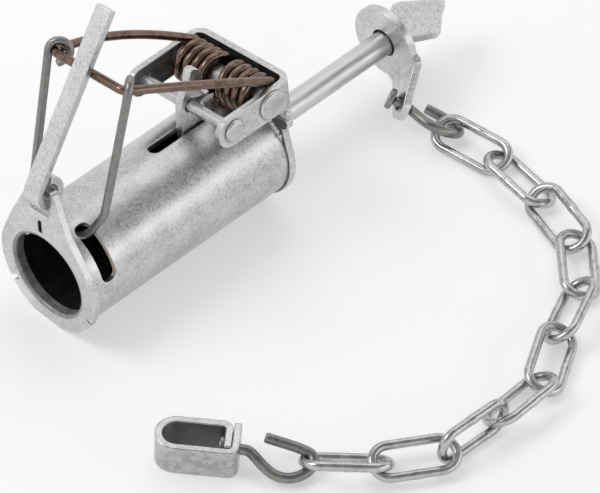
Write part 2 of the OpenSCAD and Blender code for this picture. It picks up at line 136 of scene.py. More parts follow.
def new_group(name, inputs, outputs):
    """A shader node group with its inputs and outputs, and its two end nodes."""
    tree = bpy.data.node_groups.new(name, "ShaderNodeTree")
    add_inputs(tree, inputs)
    for label, kind in outputs:
        tree.interface.new_socket(label, in_out="OUTPUT", socket_type="NodeSocket" + kind)
    return tree, tree.nodes.new("NodeGroupInput"), tree.nodes.new("NodeGroupOutput")


print("node groups so far:", len(bpy.data.node_groups))

# %% [markdown]
# Inside a group, a few small steps come again and again: one sum, one noise, a
# row of greys picked by a value, a mix of two colours. Each becomes a function
# that adds its node, links it and hands back its result.

# %% Steps inside a group


def math_node(tree, kind, a, b=None):
    """The result of one sum; a and b are numbers or sockets."""
    node = tree.nodes.new("ShaderNodeMath")
    node.operation = kind
    for i, value in enumerate((a, b)):
        if isinstance(value, (int, float)):
            node.inputs[i].default_value = value
        elif value is not None:
            tree.links.new(value, node.inputs[i])
    return node.outputs[0]


def noise(tree, place, scale, detail, rough):
    """A noise texture; place and scale are sockets."""
    node = tree.nodes.new("ShaderNodeTexNoise")
    tree.links.new(place, node.inputs["Vector"])
    tree.links.new(scale, node.inputs["Scale"])
    node.inputs["Detail"].default_value = detail
    node.inputs["Roughness"].default_value = rough
    return node.outputs["Fac"]


def ramp(tree, value, stops):
    """Greys between stops of (place, grey), picked by a value."""
    node = tree.nodes.new("ShaderNodeValToRGB")
    tree.links.new(value, node.inputs["Fac"])
    while len(node.color_ramp.elements) < len(stops):
        node.color_ramp.elements.new(0.5)
    for mark, (at, shade) in zip(node.color_ramp.elements, stops):
        mark.position = at
        mark.color = (shade, shade, shade, 1)
    return node.outputs["Color"]


def mix_color(tree, mask, a, b):
    """Colour a where the mask is 0, and b where it is 1."""
    node = tree.nodes.new("ShaderNodeMix")
    node.data_type = "RGBA"
    for sock, value in ((node.inputs["Factor"], mask), (node.inputs[6], a), (node.inputs[7], b)):
        if isinstance(value, (tuple, float, int)):
            sock.default_value = value
        else:
            tree.links.new(value, sock)
    return node.outputs[2]


print("steps:", [step.__name__ for step in (math_node, noise, ramp, mix_color)])

# %% [markdown]
# Hot zinc freezes in patches, and tumbling pits it with small flecks. So large
# soft noise and fine grain are added to a texture of small flat cells. One sum
# of the three drives the colour, and the fine ones the gloss and bumps.

# %% The mottle group


def mottle_group():
    tree, start, end = new_group("steel mottle", [
        ("Place", "Vector", (0, 0, 0)),
        ("Patch Scale", "Float", 60.0), ("Grain Scale", "Float", 900.0),
        ("Light", "Color", (0.7, 0.7, 0.7, 1)), ("Dark", "Color", (0.4, 0.4, 0.4, 1)),
        ("Roughness Low", "Float", 0.3), ("Roughness High", "Float", 0.5)],
        [("Color", "Color"), ("Roughness", "Float"), ("Height", "Float")])
    s = start.outputs
    patch = noise(tree, s["Place"], s["Patch Scale"], 5, 0.65)
    grain = noise(tree, s["Place"], s["Grain Scale"], 3, 0.7)
    cell = tree.nodes.new("ShaderNodeTexVoronoi")
    tree.links.new(s["Place"], cell.inputs["Vector"])
    tree.links.new(math_node(tree, "MULTIPLY", s["Grain Scale"], 0.7), cell.inputs["Scale"])
    fleck = math_node(tree, "MULTIPLY", cell.outputs["Color"], 0.35)
    mixed = math_node(tree, "ADD", math_node(tree, "MULTIPLY", patch, 0.6),
                      math_node(tree, "ADD", math_node(tree, "MULTIPLY", grain, 0.3), fleck))
    mask = ramp(tree, mixed, [(0.36, 0.0), (0.74, 1.0)])
    tree.links.new(mix_color(tree, mask, s["Dark"], s["Light"]), end.inputs["Color"])
    span = math_node(tree, "SUBTRACT", s["Roughness High"], s["Roughness Low"])
    share = ramp(tree, math_node(tree, "ADD", math_node(tree, "MULTIPLY", grain, 0.6), fleck),
                 [(0.25, 0.0), (0.65, 1.0)])
    rough = math_node(tree, "ADD", s["Roughness Low"], math_node(tree, "MULTIPLY", span, share))
    tree.links.new(rough, end.inputs["Roughness"])
    tree.links.new(math_node(tree, "ADD", grain, fleck), end.inputs["Height"])
    return tree


MOTTLE = mottle_group()
print("group:", MOTTLE.name)

# %% [markdown]
# Handling polishes the edges of a piece and leaves dirt in its corners.
# Geometry's Pointiness is high on edges and low in corners, so one group turns
# it into two masks and mixes a bright and a dark colour into the base.

# %% The edge wear group


def wear_group():
    tree, start, end = new_group("edge wear", [
        ("Color", "Color", (0.6, 0.6, 0.6, 1)), ("Worn", "Color", (0.8, 0.8, 0.8, 1)),
        ("Dirt", "Color", (0.1, 0.1, 0.1, 1)), ("Wear", "Float", 0.5), ("Soil", "Float", 0.5)],
        [("Color", "Color")])
    s = start.outputs
    point = tree.nodes.new("ShaderNodeNewGeometry").outputs["Pointiness"]
    edges = ramp(tree, point, [(0.51, 0.0), (0.56, 1.0)])
    corners = ramp(tree, point, [(0.42, 1.0), (0.49, 0.0)])
    bright = math_node(tree, "MULTIPLY", edges, s["Wear"])
    dirt_and_painted_shade = math_node(tree, "MULTIPLY", corners, s["Soil"])
    worn = mix_color(tree, bright, s["Color"], s["Worn"])
    tree.links.new(mix_color(tree, dirt_and_painted_shade, worn, s["Dirt"]), end.inputs["Color"])
    return tree


WEAR = wear_group()
print("group:", WEAR.name)

# %% [markdown]
# A finish puts the two groups together and feeds one Principled BSDF. What is
# the same all over, such as Metallic, is set on the shader's own socket.

# %% The recipe of a finish
GRAIN_DEPTH = 0.12 * MM


def finish_material(name, light, dark, rough, scales, bump=0.25, wear=0.5, soil=0.4,
                    worn=(0.82, 0.82, 0.80), dirt=(0.09, 0.08, 0.07), metallic=1.0,
                    stretch=(1, 1, 1)):
    """A steel finish. scales are those of the patches and of the grain, in turns to the metre."""
    mat = bpy.data.materials.new(name)
    mat.use_nodes = True
    tree = mat.node_tree
    shader = tree.nodes["Principled BSDF"]
    shader.inputs["Metallic"].default_value = metallic
    coord = tree.nodes.new("ShaderNodeTexCoord")
    place = tree.nodes.new("ShaderNodeMapping")
    place.inputs["Scale"].default_value = stretch
    tree.links.new(coord.outputs["Object"], place.inputs["Vector"])
    mottle, edge = tree.nodes.new("ShaderNodeGroup"), tree.nodes.new("ShaderNodeGroup")
    mottle.node_tree, edge.node_tree = MOTTLE, WEAR
    tree.links.new(place.outputs[0], mottle.inputs["Place"])
    settings = {
        mottle: {"Patch Scale": scales[0], "Grain Scale": scales[1],
                 "Light": (*light, 1), "Dark": (*dark, 1),
                 "Roughness Low": rough[0], "Roughness High": rough[1]},
        edge: {"Worn": (*worn, 1), "Dirt": (*dirt, 1), "Wear": wear, "Soil": soil}}
    for group, values in settings.items():
        for label, value in values.items():
            group.inputs[label].default_value = value
    tree.links.new(mottle.outputs["Color"], edge.inputs["Color"])
    tree.links.new(edge.outputs["Color"], shader.inputs["Base Color"])
    tree.links.new(mottle.outputs["Roughness"], shader.inputs["Roughness"])
    lift = tree.nodes.new("ShaderNodeBump")
    lift.inputs["Strength"].default_value = bump
    lift.inputs["Distance"].default_value = GRAIN_DEPTH
    tree.links.new(mottle.outputs["Height"], lift.inputs["Height"])
    tree.links.new(lift.outputs["Normal"], shader.inputs["Normal"])
    return mat


print("the grain is", round(GRAIN_DEPTH / MM, 2), "mm deep")

# %% [markdown]
# Each finish has a light and a dark colour, a range of roughness, and the scales
# of its patches and grain. Zinc is pale and fairly rough, the chain is smoother,
# the spring is dark brown with oil. Inner faces get painted shade: dark, less
# metallic finishes. The pipe's cut edges are less metallic, because rust lies on
# them. The CAD solids get theirs as well.

# %% Finishes
FINISH = {
    "zinc_plate": finish_material(
        "zinc plate", (0.64, 0.64, 0.645), (0.36, 0.36, 0.37), (0.23, 0.42), (120, 2100), 0.4),
    "zinc_chain": finish_material(
        "bright zinc", (0.52, 0.52, 0.52), (0.32, 0.32, 0.32), (0.16, 0.30), (120, 700), 0.08,
        wear=0.2, soil=0.6),
    "grey_wire": finish_material(
        "dull grey wire", (0.27, 0.26, 0.25), (0.16, 0.155, 0.15), (0.28, 0.44), (150, 900), 0.15,
        wear=0.25, worn=(0.6, 0.59, 0.57)),
    "spring_wire": finish_material(
        "oiled spring wire", (0.20, 0.135, 0.105), (0.085, 0.056, 0.044), (0.17, 0.30),
        (160, 800), 0.08, wear=0.15, worn=(0.42, 0.33, 0.27), dirt=(0.05, 0.03, 0.02)),
    "pin_steel": finish_material(
        "pin zinc", (0.58, 0.58, 0.575), (0.38, 0.38, 0.38), (0.26, 0.44), (120, 1000), 0.3),
    "weld": finish_material(
        "weld bead", (0.62, 0.61, 0.60), (0.34, 0.33, 0.34), (0.25, 0.55), (300, 1500), 0.6,
        soil=0.8),
    # inside and strap_inside are painted shade: dark colours for inner faces that light hardly
    # reaches
    "inside": finish_material(
        "painted shade inside", (0.13, 0.12, 0.11), (0.03, 0.026, 0.023), (0.35, 0.60), (110, 900), 0.4,
        metallic=0.7),
    "strap_inside": finish_material(
        "painted shade strap inside", (0.25, 0.24, 0.235), (0.13, 0.12, 0.115), (0.35, 0.60), (110, 900), 0.3,
        metallic=0.7),
    "cut": finish_material(
        "brown cut edge", (0.50, 0.42, 0.35), (0.30, 0.23, 0.18), (0.30, 0.50), (200, 1100), 0.4,
        metallic=0.25),
    "rod": finish_material(
        "drawn rod", (0.58, 0.57, 0.56), (0.26, 0.25, 0.25), (0.28, 0.48), (120, 900), 0.4,
        stretch=(0.12, 1, 1)),
}
for node, obj in frame["nodes"].items():
    obj.material_slots[0].material = FINISH[SLOT_OF[node]]
print(len(FINISH), "finishes")

# %% [markdown]
# ## From a drawing to a piece of plate
# Most pieces of the trap are punched from sheet and bent. We make them in the
# same order. A filled 2D curve turns outlines into a flat face and takes care
# of the holes; extruding gives the thickness; a bevel breaks the sharp edges.
# Only then is the plate bent, by moving its points along a path.

# %% Outlines


def span(start, end, steps):
    """Evenly spaced numbers from start to end."""
    return [start + (end - start) * i / steps for i in range(steps + 1)]


def oblong(left, right, low, high):
    """The four corners of a rectangle, anticlockwise."""
    return [(left, low), (right, low), (right, high), (left, high)]


def arc(cx, cy, r, start, end, steps):
    """Points on an arc; angles in degrees."""
    angles = [math.radians(a) for a in span(start, end, steps)]
    return [(cx + r * math.cos(a), cy + r * math.sin(a)) for a in angles]


# a corner this close to straight, in radians, stays as it is
STRAIGHT = 1e-4


def rounded(points, radii, steps=6, closed=True):
    """The points with each corner replaced by an arc, flat or in space."""
    pts = [Vector(p) for p in points]
    radii = radii if isinstance(radii, (list, tuple)) else [radii] * len(pts)
    out = []
    for i, p in enumerate(pts):
        if radii[i] <= 0 or (not closed and i in (0, len(pts) - 1)):
            out.append(tuple(p))
            continue
        a = (pts[i - 1] - p).normalized()
        b = (pts[(i + 1) % len(pts)] - p).normalized()
        half = a.angle(b) / 2
        if abs(half - math.pi / 2) < STRAIGHT:
            out.append(tuple(p))
            continue
        reach = radii[i] / math.tan(half)
        centre = p + (a + b).normalized() * radii[i] / math.sin(half)
        first, last = p + a * reach - centre, p + b * reach - centre
        turn = first.angle(last)
        for k in range(steps + 1):
            t = k / steps
            v = first * math.sin((1 - t) * turn) + last * math.sin(t * turn)
            out.append(tuple(centre + v / math.sin(turn)))
    return out


print("a rounded square has", len(rounded(oblong(0, 1, 0, 1), 0.2)), "points")

# %% [markdown]
# A plate could be built face by face, but its holes make that slow. Blender fills
# a flat curve with any number of holes by itself, so a slab starts as a curve,
# becomes a mesh and is then made thick. Its sharp edges are rounded last.

# %% A slab of plate
# points closer than MERGE millimetres are one; faces are joined where they meet at
# less than FLAT radians; edges sharper than SHARP are rounded
MERGE, FLAT, SHARP = 0.002, 0.01, math.radians(35)
# how far a point may be from a level, in millimetres, and still lie on it
LEVEL = 0.01


def break_edges(bm, offset, segments=2):
    """Rounds the sharp edges, as a file or tumbling does."""
    rims = [e for e in bm.edges if len(e.link_faces) == 2 and e.calc_face_angle(0) > SHARP]
    bmesh.ops.bevel(bm, geom=rims, offset=offset, segments=segments, profile=0.6,
                    affect="EDGES", clamp_overlap=False)


def slab(loops, thickness, edge, segments=2):
    """A bmesh of flat plate in millimetres: outlines in XY with holes, from z 0 up."""
    curve = bpy.data.curves.new("outline", "CURVE")
    curve.dimensions, curve.fill_mode = "2D", "BOTH"
    for loop in loops:
        spline = curve.splines.new("POLY")
        spline.points.add(len(loop) - 1)
        for mark, p in zip(spline.points, loop):
            mark.co = (p[0], p[1], 0, 1)
        spline.use_cyclic_u = True
    holder = bpy.data.objects.new("outline", curve)
    bpy.context.scene.collection.objects.link(holder)
    dg = bpy.context.evaluated_depsgraph_get()
    flat = bpy.data.meshes.new_from_object(holder.evaluated_get(dg))
    bpy.data.objects.remove(holder)
    bm = bmesh.new()
    bm.from_mesh(flat)
    bmesh.ops.remove_doubles(bm, verts=bm.verts, dist=MERGE)
    inner_edges = [e for e in bm.edges if not e.is_boundary]
    bmesh.ops.dissolve_limit(bm, angle_limit=FLAT, verts=bm.verts, edges=inner_edges)
    top = bmesh.ops.extrude_face_region(bm, geom=list(bm.faces))["geom"]
    lifted = [g for g in top if isinstance(g, bmesh.types.BMVert)]
    bmesh.ops.translate(bm, vec=(0, 0, thickness), verts=lifted)
    bmesh.ops.recalc_face_normals(bm, faces=bm.faces)
    if edge > 0:
        break_edges(bm, edge, segments)
    return bm


def paint_faces(bm, index, test):
    """Gives the faces that pass a test another of the piece's finishes."""
    for f in bm.faces:
        if test(f):
            f.material_index = index


def at_level(z):
    """A test for the faces at one height of a slab."""
    return lambda f: all(abs(v.co.z - z) < LEVEL for v in f.verts)


def slice_across(bm, axis, places):
    """Cuts the mesh by planes square to an axis, so that it can be bent there."""
    normal = Vector((0, 0, 0))
    normal[axis] = 1
    for at in places:
        geom = list(bm.verts) + list(bm.edges) + list(bm.faces)
        bmesh.ops.bisect_plane(bm, geom=geom, plane_co=normal * at, plane_no=normal, dist=1e-5)


print("edges over", round(math.degrees(SHARP)), "degrees are broken")

# %% [markdown]
# A finished piece has its corners smoothed by weighted normals, is laid down
# with the trap, takes its finish and rides on the body of the node that it
# stands for. Every piece goes through the same last step.

# %% The last step of every piece


def flat_copy(obj):
    """The evaluated object as a plain mesh."""
    bpy.context.view_layer.update()
    dg = bpy.context.evaluated_depsgraph_get()
    return bpy.data.meshes.new_from_object(
        obj.evaluated_get(dg), preserve_all_data_layers=True, depsgraph=dg)


def place_piece(name, mesh, node, finish=None, lay=True, hide=True, smooth=38, join=None):
    """Brings a mesh in millimetres to its place, smooths it and ties it to its node.
    A piece given join is left tied to no body; the bodies and bend points in join are not used."""
    move = (LAY if lay else Matrix.Identity(4)) @ Matrix.Scale(MM, 4)
    mesh.transform(move)
    parts = [p.material_index for p in mesh.polygons]
    mesh.materials.clear()
    for item in (finish if isinstance(finish, list) else [finish or SLOT_OF[node]]):
        mesh.materials.append(FINISH[item])
    mesh.polygons.foreach_set("material_index", parts)
    mesh.polygons.foreach_set("use_smooth", [True] * len(mesh.polygons))
    mesh.set_sharp_from_angle(angle=math.radians(smooth))
    obj = bpy.data.objects.new(name, mesh)
    bpy.context.scene.collection.objects.link(obj)
    weigh = obj.modifiers.new("weigh", "WEIGHTED_NORMAL")
    weigh.keep_sharp = True
    final = flat_copy(obj)
    obj.modifiers.clear()
    obj.data = final
    if join:
        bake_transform(obj)
    else:
        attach(obj, BODY_OF[node])
    if hide:
        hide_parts(node)
    print(f"{name}: {len(final.polygons)} faces")


def from_bm(name, bm, node, mapping=None, **more):
    """A bmesh as a piece, after a mapping has moved each of its points."""
    if mapping:
        for v in bm.verts:
            v.co = mapping(v.co)
    bmesh.ops.remove_doubles(bm, verts=bm.verts, dist=MERGE)
    bmesh.ops.recalc_face_normals(bm, faces=bm.faces)
    mesh = bpy.data.meshes.new(name)
    bm.to_mesh(mesh)
    bm.free()
    place_piece(name, mesh, node, **more)


# %% [markdown]
# ## The tube
# The tube is welded pipe with two curved slots for the stirrup and a long one
# for the trigger. Cutting slots in a round shell is hard on a mesh; rolling up
# a flat sheet that already has them is easy. The sheet's width is the angle
# round from the top, and its two ends are merged where they meet underneath.

# %% Tube
TUBE_R, WALL, TUBE_END, PLATE_T = 21.1, 2.0, 93.5, 3.0
SIDE_SLOT_ANGLES, SIDE_SLOT_X, SIDE_SLOT_CORNER = (22, 84), (7.2, 13.4), 2.6
TOP_SLOT_HALF, TOP_SLOT_X, TOP_SLOT_CORNER = 2.5, (51, 81), 2.45
ROUND_STEPS = 144
HALF_ROUND = math.pi * TUBE_R
# the bore is painted shade: near-black, with its gloss turned down, so the tube's inside reads as
# dark
FINISH["bore"] = finish_material("painted shade bore", (0.030, 0.026, 0.023), (0.010, 0.009, 0.008),
                                 (0.5, 0.8), (80, 700), 0.1, metallic=0.0, wear=0, soil=0)
bore_shader = FINISH["bore"].node_tree.nodes["Principled BSDF"]
bore_shader.inputs["Specular IOR Level"].default_value = 0.05


def roll_up(p):
    """The sheet's x is the way round from the top, y is along the tube, z the depth of the wall."""
    a, r = p.x / TUBE_R, TUBE_R - WALL + p.z
    return Vector((p.y, r * math.sin(a), r * math.cos(a)))


def is_slot_wall(f):
    y = f.calc_center_median().y
    return abs(f.normal.y) > 0.7 and SIDE_SLOT_X[0] - 1 < y < SIDE_SLOT_X[1] + 1


def make_tube():
    loops = [oblong(-HALF_ROUND, HALF_ROUND, PLATE_T, TUBE_END)]
    for side in (-1, 1):
        ends = sorted(side * math.radians(a) * TUBE_R for a in SIDE_SLOT_ANGLES)
        loops.append(rounded(oblong(*ends, *SIDE_SLOT_X), SIDE_SLOT_CORNER))
    loops.append(rounded(oblong(-TOP_SLOT_HALF, TOP_SLOT_HALF, *TOP_SLOT_X), TOP_SLOT_CORNER))
    bm = slab(loops, WALL, 0)
    seam = [f for f in bm.faces
            if all(abs(abs(v.co.x) - HALF_ROUND) < LEVEL for v in f.verts)]
    bmesh.ops.delete(bm, geom=seam, context="FACES")
    break_edges(bm, 0.3)
    slice_across(bm, 0, span(-HALF_ROUND, HALF_ROUND, ROUND_STEPS)[1:-1])
    paint_faces(bm, 2, is_slot_wall)
    # the inner faces take the bore's painted shade
    paint_faces(bm, 1, at_level(0))
    return bm


from_bm("made_tube", make_tube(), "tube", roll_up, finish=["zinc_plate", "bore", "cut"])

# %% [markdown]
# ## The plates
# The front plate is a ring with a tall ear that leans back, with a window for
# the dog and three narrow slits. The end plate closes the tube and carries the
# rod. Both stand on the floor on a short flat, so their outlines are cut there.
# A bend is a rule for points: what lies past it turns about the bend's centre.

# %% Bending a strip


def fold_at(s, folds):
    """Where length s of a strip comes to: along, left of the start, and heading.
    Each fold has a start, a length and an angle."""
    x = y = head = at = 0.0
    for start, length, angle in folds:
        if s <= start:
            break
        x, y = x + (start - at) * math.cos(head), y + (start - at) * math.sin(head)
        part = min(1.0, (s - start) / length)
        turn, r = math.radians(angle) * part, length / math.radians(angle)
        x += r * (math.sin(head + turn) - math.sin(head))
        y += r * (math.cos(head) - math.cos(head + turn))
        head, at = head + turn, start + length * part
        if part < 1:
            return x, y, head
    return x + (s - at) * math.cos(head), y + (s - at) * math.sin(head), head


def fold_cuts(folds, step=9):
    """The lengths at which a strip is cut across, so that it can bend there."""
    cuts = []
    for start, length, angle in folds:
        cuts += span(start, start + length, max(2, round(abs(angle) / step)))
    return cuts


print("a square bend is cut at", len(fold_cuts([(0, 1, 90)])), "lengths")

# %% [markdown]
# The front plate is one outline: its round part, cut flat where it stands, runs
# into the straight sides of the ear. The two lower slits open to the rim, so they
# belong to the outline; the mouth, the window and the top slit are holes.

# %% Front plate
PLATE_R, MOUTH_R, EAR_H, EAR_HALF, EAR_Z = 22.7, 15.875, 15.2, 5.6, 21.5
EAR_SPREAD, EAR_LEAN, EAR_BEND, EAR_FOLD = math.radians(28.5), 12, 2.4, 20.3
SHOULDER = 29.8
# the open slits: angle, half width, radius of the bottom, and the gap before it in degrees
OPEN_SLITS = ((210, 0.35, 20.6, 1.3), (330, 0.9, 19.2, 2.3))
TOP_SLIT = 90
FLOOR_LINE = ((-math.sin(LEAN), math.cos(LEAN)), -AXIS_H)
# a strip's length is measured from this far below the middle of its drawing
DRAWING = 40


def cut_below(points, normal, offset):
    """The part of an outline where point . normal is over offset."""
    n, out = Vector(normal), []
    for i, p in enumerate(points):
        a, b = Vector(p), Vector(points[(i + 1) % len(points)])
        da, db = a.dot(n) - offset, b.dot(n) - offset
        if da >= 0:
            out.append(tuple(a))
        if da * db < 0:
            out.append(tuple(a + (b - a) * da / (da - db)))
    return out


def rim_with_slits():
    """The plate's round part, from its left shoulder by way of the floor to its right one."""
    points, at = [], 180 - SHOULDER
    for slit, half, deep, gap in OPEN_SLITS:
        points += arc(0, 0, PLATE_R, at, slit - gap, 30)
        d = Vector((math.cos(math.radians(slit)), math.sin(math.radians(slit))))
        n = Vector((-d.y, d.x)) * half
        points += [tuple(d * deep - n), tuple(d * deep + n)]
        at = slit + math.degrees(half / PLATE_R)
    return points + arc(0, 0, PLATE_R, at, 360 + SHOULDER, 30)


def ear_back(p):
    """The plate is drawn in YZ, and its ear leans back where it leaves the ring."""
    along, left, head = fold_at(p.y + DRAWING, [(DRAWING + EAR_FOLD, EAR_BEND, EAR_LEAN)])
    return Vector((left + p.z * math.cos(head), p.x, along - DRAWING - p.z * math.sin(head)))


def is_in_slit(f):
    """True for the walls of the three slits."""
    c = f.calc_center_median()
    turn = math.degrees(math.atan2(c.y, c.x)) % 360
    near = min(abs(turn - slit) for slit in (TOP_SLIT, OPEN_SLITS[0][0], OPEN_SLITS[1][0])) < 3
    return near and 18.4 < math.hypot(c.x, c.y) < 22.6 and abs(f.normal.z) < 0.6


foot = EAR_HALF + EAR_H * math.tan(EAR_SPREAD)
ear = rounded([(foot, EAR_Z), (EAR_HALF, EAR_Z + EAR_H), (-EAR_HALF, EAR_Z + EAR_H),
               (-foot, EAR_Z)], [0, 2.2, 2.2, 0])
front_outline = cut_below(rim_with_slits() + ear, *FLOOR_LINE)
mouth_hole = arc(0, 0, MOUTH_R + 1.2, 0, 360, 96)[:-1]
window = rounded(oblong(-4.9, 4.9, 26.7, 34.1), [1.8, 1.8, 0.8, 0.8])
top_slit = rounded(oblong(-0.9, 0.9, 18.6, 23.6), 0.5)
front_bm = slab([front_outline, mouth_hole, window, top_slit], PLATE_T, 0.4, 3)
slice_across(front_bm, 1, span(EAR_FOLD, EAR_FOLD + EAR_BEND, 4))
# the slits' walls take the inside finish: painted shade
paint_faces(front_bm, 1, is_in_slit)
from_bm("made_front_plate", front_bm, "front_plate", ear_back, finish=["zinc_plate", "inside"])

# %% [markdown]
# The mouth is what the eye goes to first: a soft rounded rim that turns into a
# short collar, and then darkness. It is turned on a lathe, so it is a profile
# swept round the X axis, and so are the pins, the rod and the washer.

# %% Turned pieces


def lathe(profile, steps):
    """A bmesh swept round the X axis from (x, radius) points; radius 0 closes an end."""
    bm = bmesh.new()
    rings = []
    for x, r in profile:
        if r < 1e-6:
            rings.append([bm.verts.new((x, 0, 0))])
        else:
            turn = [math.tau * k / steps for k in range(steps)]
            rings.append([bm.verts.new((x, r * math.cos(a), r * math.sin(a))) for a in turn])
    pairs = list(zip(rings, rings[1:]))
    if len(rings[0]) > 1 and len(rings[-1]) > 1:
        pairs.append((rings[-1], rings[0]))
    for a, b in pairs:
        for k in range(steps):
            n = (k + 1) % steps
            quad = [a[k % len(a)], a[n % len(a)], b[n % len(b)], b[k % len(b)]]
            bm.faces.new([v for i, v in enumerate(quad) if v not in quad[:i]])
    return bm


FINISH["collar"] = finish_material("mouth collar", (0.36, 0.35, 0.34), (0.15, 0.14, 0.135),
                                   (0.3, 0.5), (120, 900), metallic=0.4)
OUTER, COLLAR_R, COLLAR_X = MOUTH_R + 1.45, MOUTH_R + 2, (2.6, 4.2)
MOUTH = rounded([(0.05, OUTER), (0.05, MOUTH_R), (COLLAR_X[1], MOUTH_R), (COLLAR_X[1], COLLAR_R),
                 (COLLAR_X[0], COLLAR_R), (COLLAR_X[0], OUTER)], [0.0, 1.25, 0.35, 0.35, 0, 0])
from_bm("mouth_collar", lathe(MOUTH, 128), "front_plate", hide=False, finish="collar")

# %% [markdown]
# The end plate is a disc whose top widens to a seat for the bracket's back. Its
# face towards the tube is coloured dark as painted shadow, like all inner faces.

# %% End plate
END_T, END_R, BRACKET_HALF = 2.8, 22.1, 23.2
SEAT_Z = (14, 19)
end_outline = arc(0, 0, END_R, 173.5, 366.5, 80) + rounded(
    [(BRACKET_HALF, SEAT_Z[0]), (BRACKET_HALF, SEAT_Z[1]),
     (-BRACKET_HALF, SEAT_Z[1]), (-BRACKET_HALF, SEAT_Z[0])], [3, 1.2, 1.2, 3])
end_bm = slab([cut_below(end_outline, *FLOOR_LINE)], END_T, 0.4, 3)
# the face towards the tube takes the inside finish: painted shadow
paint_faces(end_bm, 1, at_level(0))
from_bm("made_end_plate", end_bm, "end_plate", lambda p: Vector((TUBE_END + p.z, p.x, p.y)),
        finish=["zinc_plate", "inside"])

# %% [markdown]
# ## The bracket
# One strap, bent twice, holds both pins. It is drawn flat with its four holes
# and its round ends, sliced across where it bends, and then folded.

# %% Bracket
STRAP_T, BACK_X, PIN_Z = 2.5, TUBE_END + END_T, 30.2
EAR_X, EAR_R, EAR_MID, BEND_R = 63, 5.7, 30, 2.9
STRAP_LOW, BACK_LOW = 24.3, 12
TRIGGER_X, TRIGGER_D, SPRING_X, SPRING_D = 70, 4.4, 87.6, 8.0
BEND = (STRAP_T / 2 + BEND_R) * math.pi / 2
EAR_RUN = BACK_X - BEND_R - EAR_X
BACK_RUN = 2 * (BRACKET_HALF - STRAP_T - BEND_R)
STRAP_L = 2 * EAR_RUN + 2 * BEND + BACK_RUN
STRAP_FOLDS = [(EAR_RUN, BEND, 90), (EAR_RUN + BEND + BACK_RUN, BEND, 90)]


def bracket_fold(p):
    along, left, head = fold_at(p.x, STRAP_FOLDS)
    side = p.z - STRAP_T / 2
    return Vector((EAR_X + along - side * math.sin(head),
                   -BRACKET_HALF + STRAP_T / 2 + left + side * math.cos(head), p.y))


inner = EAR_RUN + BEND
drop = rounded([(inner + 1, STRAP_LOW), (inner + 3, BACK_LOW),
                (STRAP_L - inner - 3, BACK_LOW), (STRAP_L - inner - 1, STRAP_LOW)], 1.2)
strap = (arc(EAR_R, EAR_MID, EAR_R, 90, 270, 20) + drop
         + arc(STRAP_L - EAR_R, EAR_MID, EAR_R, -90, 90, 20))
pin_holes = [arc(at, PIN_Z, d / 2 + 0.15, 0, 360, 32)[:-1]
             for x, d in ((TRIGGER_X, TRIGGER_D), (SPRING_X, SPRING_D))
             for at in (x - EAR_X, STRAP_L - x + EAR_X)]
bracket_bm = slab([strap] + pin_holes, STRAP_T, 0.4, 3)
slice_across(bracket_bm, 0, fold_cuts(STRAP_FOLDS))
# the ears' inner faces take the inside finish: painted shade
paint_faces(bracket_bm, 1, at_level(STRAP_T))
from_bm("made_bracket", bracket_bm, "bracket", bracket_fold, finish=["zinc_plate", "inside"])

# %% [markdown]
# Each pin goes through both ears, and its ends are hammered to low domes. The
# profile of one half is mirrored. A thin dark ring round a head is painted shade
# where the head sits on the ear.

# %% Pins


def pin_profile(d, head_d, reach):
    """Half of a pin with its domed head, from its middle outwards."""
    r, seat = head_d / 2, reach + 0.15
    dome = [(reach + 0.75 + 1.1 * math.sin(a), r * 0.96 * math.cos(a))
            for a in span(0.25, math.pi / 2, 8)]
    return [(0, d / 2), (reach - 0.2, d / 2), (seat, d / 2), (seat, r * 0.93),
            (seat + 0.2, r)] + dome[:-1] + [(reach + 1.85, 0)]


def make_pin(name, node, x, d, head_d):
    half = pin_profile(d, head_d, BRACKET_HALF)
    whole = [(-a, r) for a, r in half[::-1]] + half[1:]
    from_bm(name, lathe(whole, 48), node, lambda p: Vector((x + p.z, p.x, PIN_Z + p.y)))
    # a dark ring of the inside finish on the ear round the near head: painted shade
    back, front = -BRACKET_HALF - 0.02, -BRACKET_HALF - 0.07
    outer, inner = head_d / 2 + 0.45, head_d / 2 - 0.8
    dirt_and_painted_shade = [(front, outer), (front, inner), (back, inner), (back, outer)]
    from_bm(name + "_painted_shade_ring", lathe(dirt_and_painted_shade, 48), node,
            lambda p: Vector((x - 0.25 + p.z, p.x, PIN_Z + p.y)), hide=False, finish="inside")


make_pin("made_trigger_pin", "trigger_pin", TRIGGER_X, TRIGGER_D, 8.3)
make_pin("made_spring_pin", "spring_pin", SPRING_X, SPRING_D, 10.6)

# %% [markdown]
# ## The rear end
# The rod runs back to a washer and a small pointed spade. The rod and the washer
# are turned, and the spade is cut from plate and slit to sit astride the rod.

# %% Rod, washer and spade
ROD_R, SWIVEL_X, SWIVEL_T = 4.5, 161.5, 3.0
ROD_END = SWIVEL_X + 6.5
WASHER_X, WASHER_T, WASHER_R = SWIVEL_X + SWIVEL_T + 0.35, 2, 10.5
SPADE_X, SPADE_T, SPADE_TIP = SWIVEL_X + SWIVEL_T + 2.9, 3, 192.5
SPADE_TURN = Matrix.Rotation(math.radians(-5), 4, "X")


def on_axis(p):
    """A point given from the rod's middle line, at its height over the floor."""
    return Vector((p.x, p.y, p.z + AXIS_H))


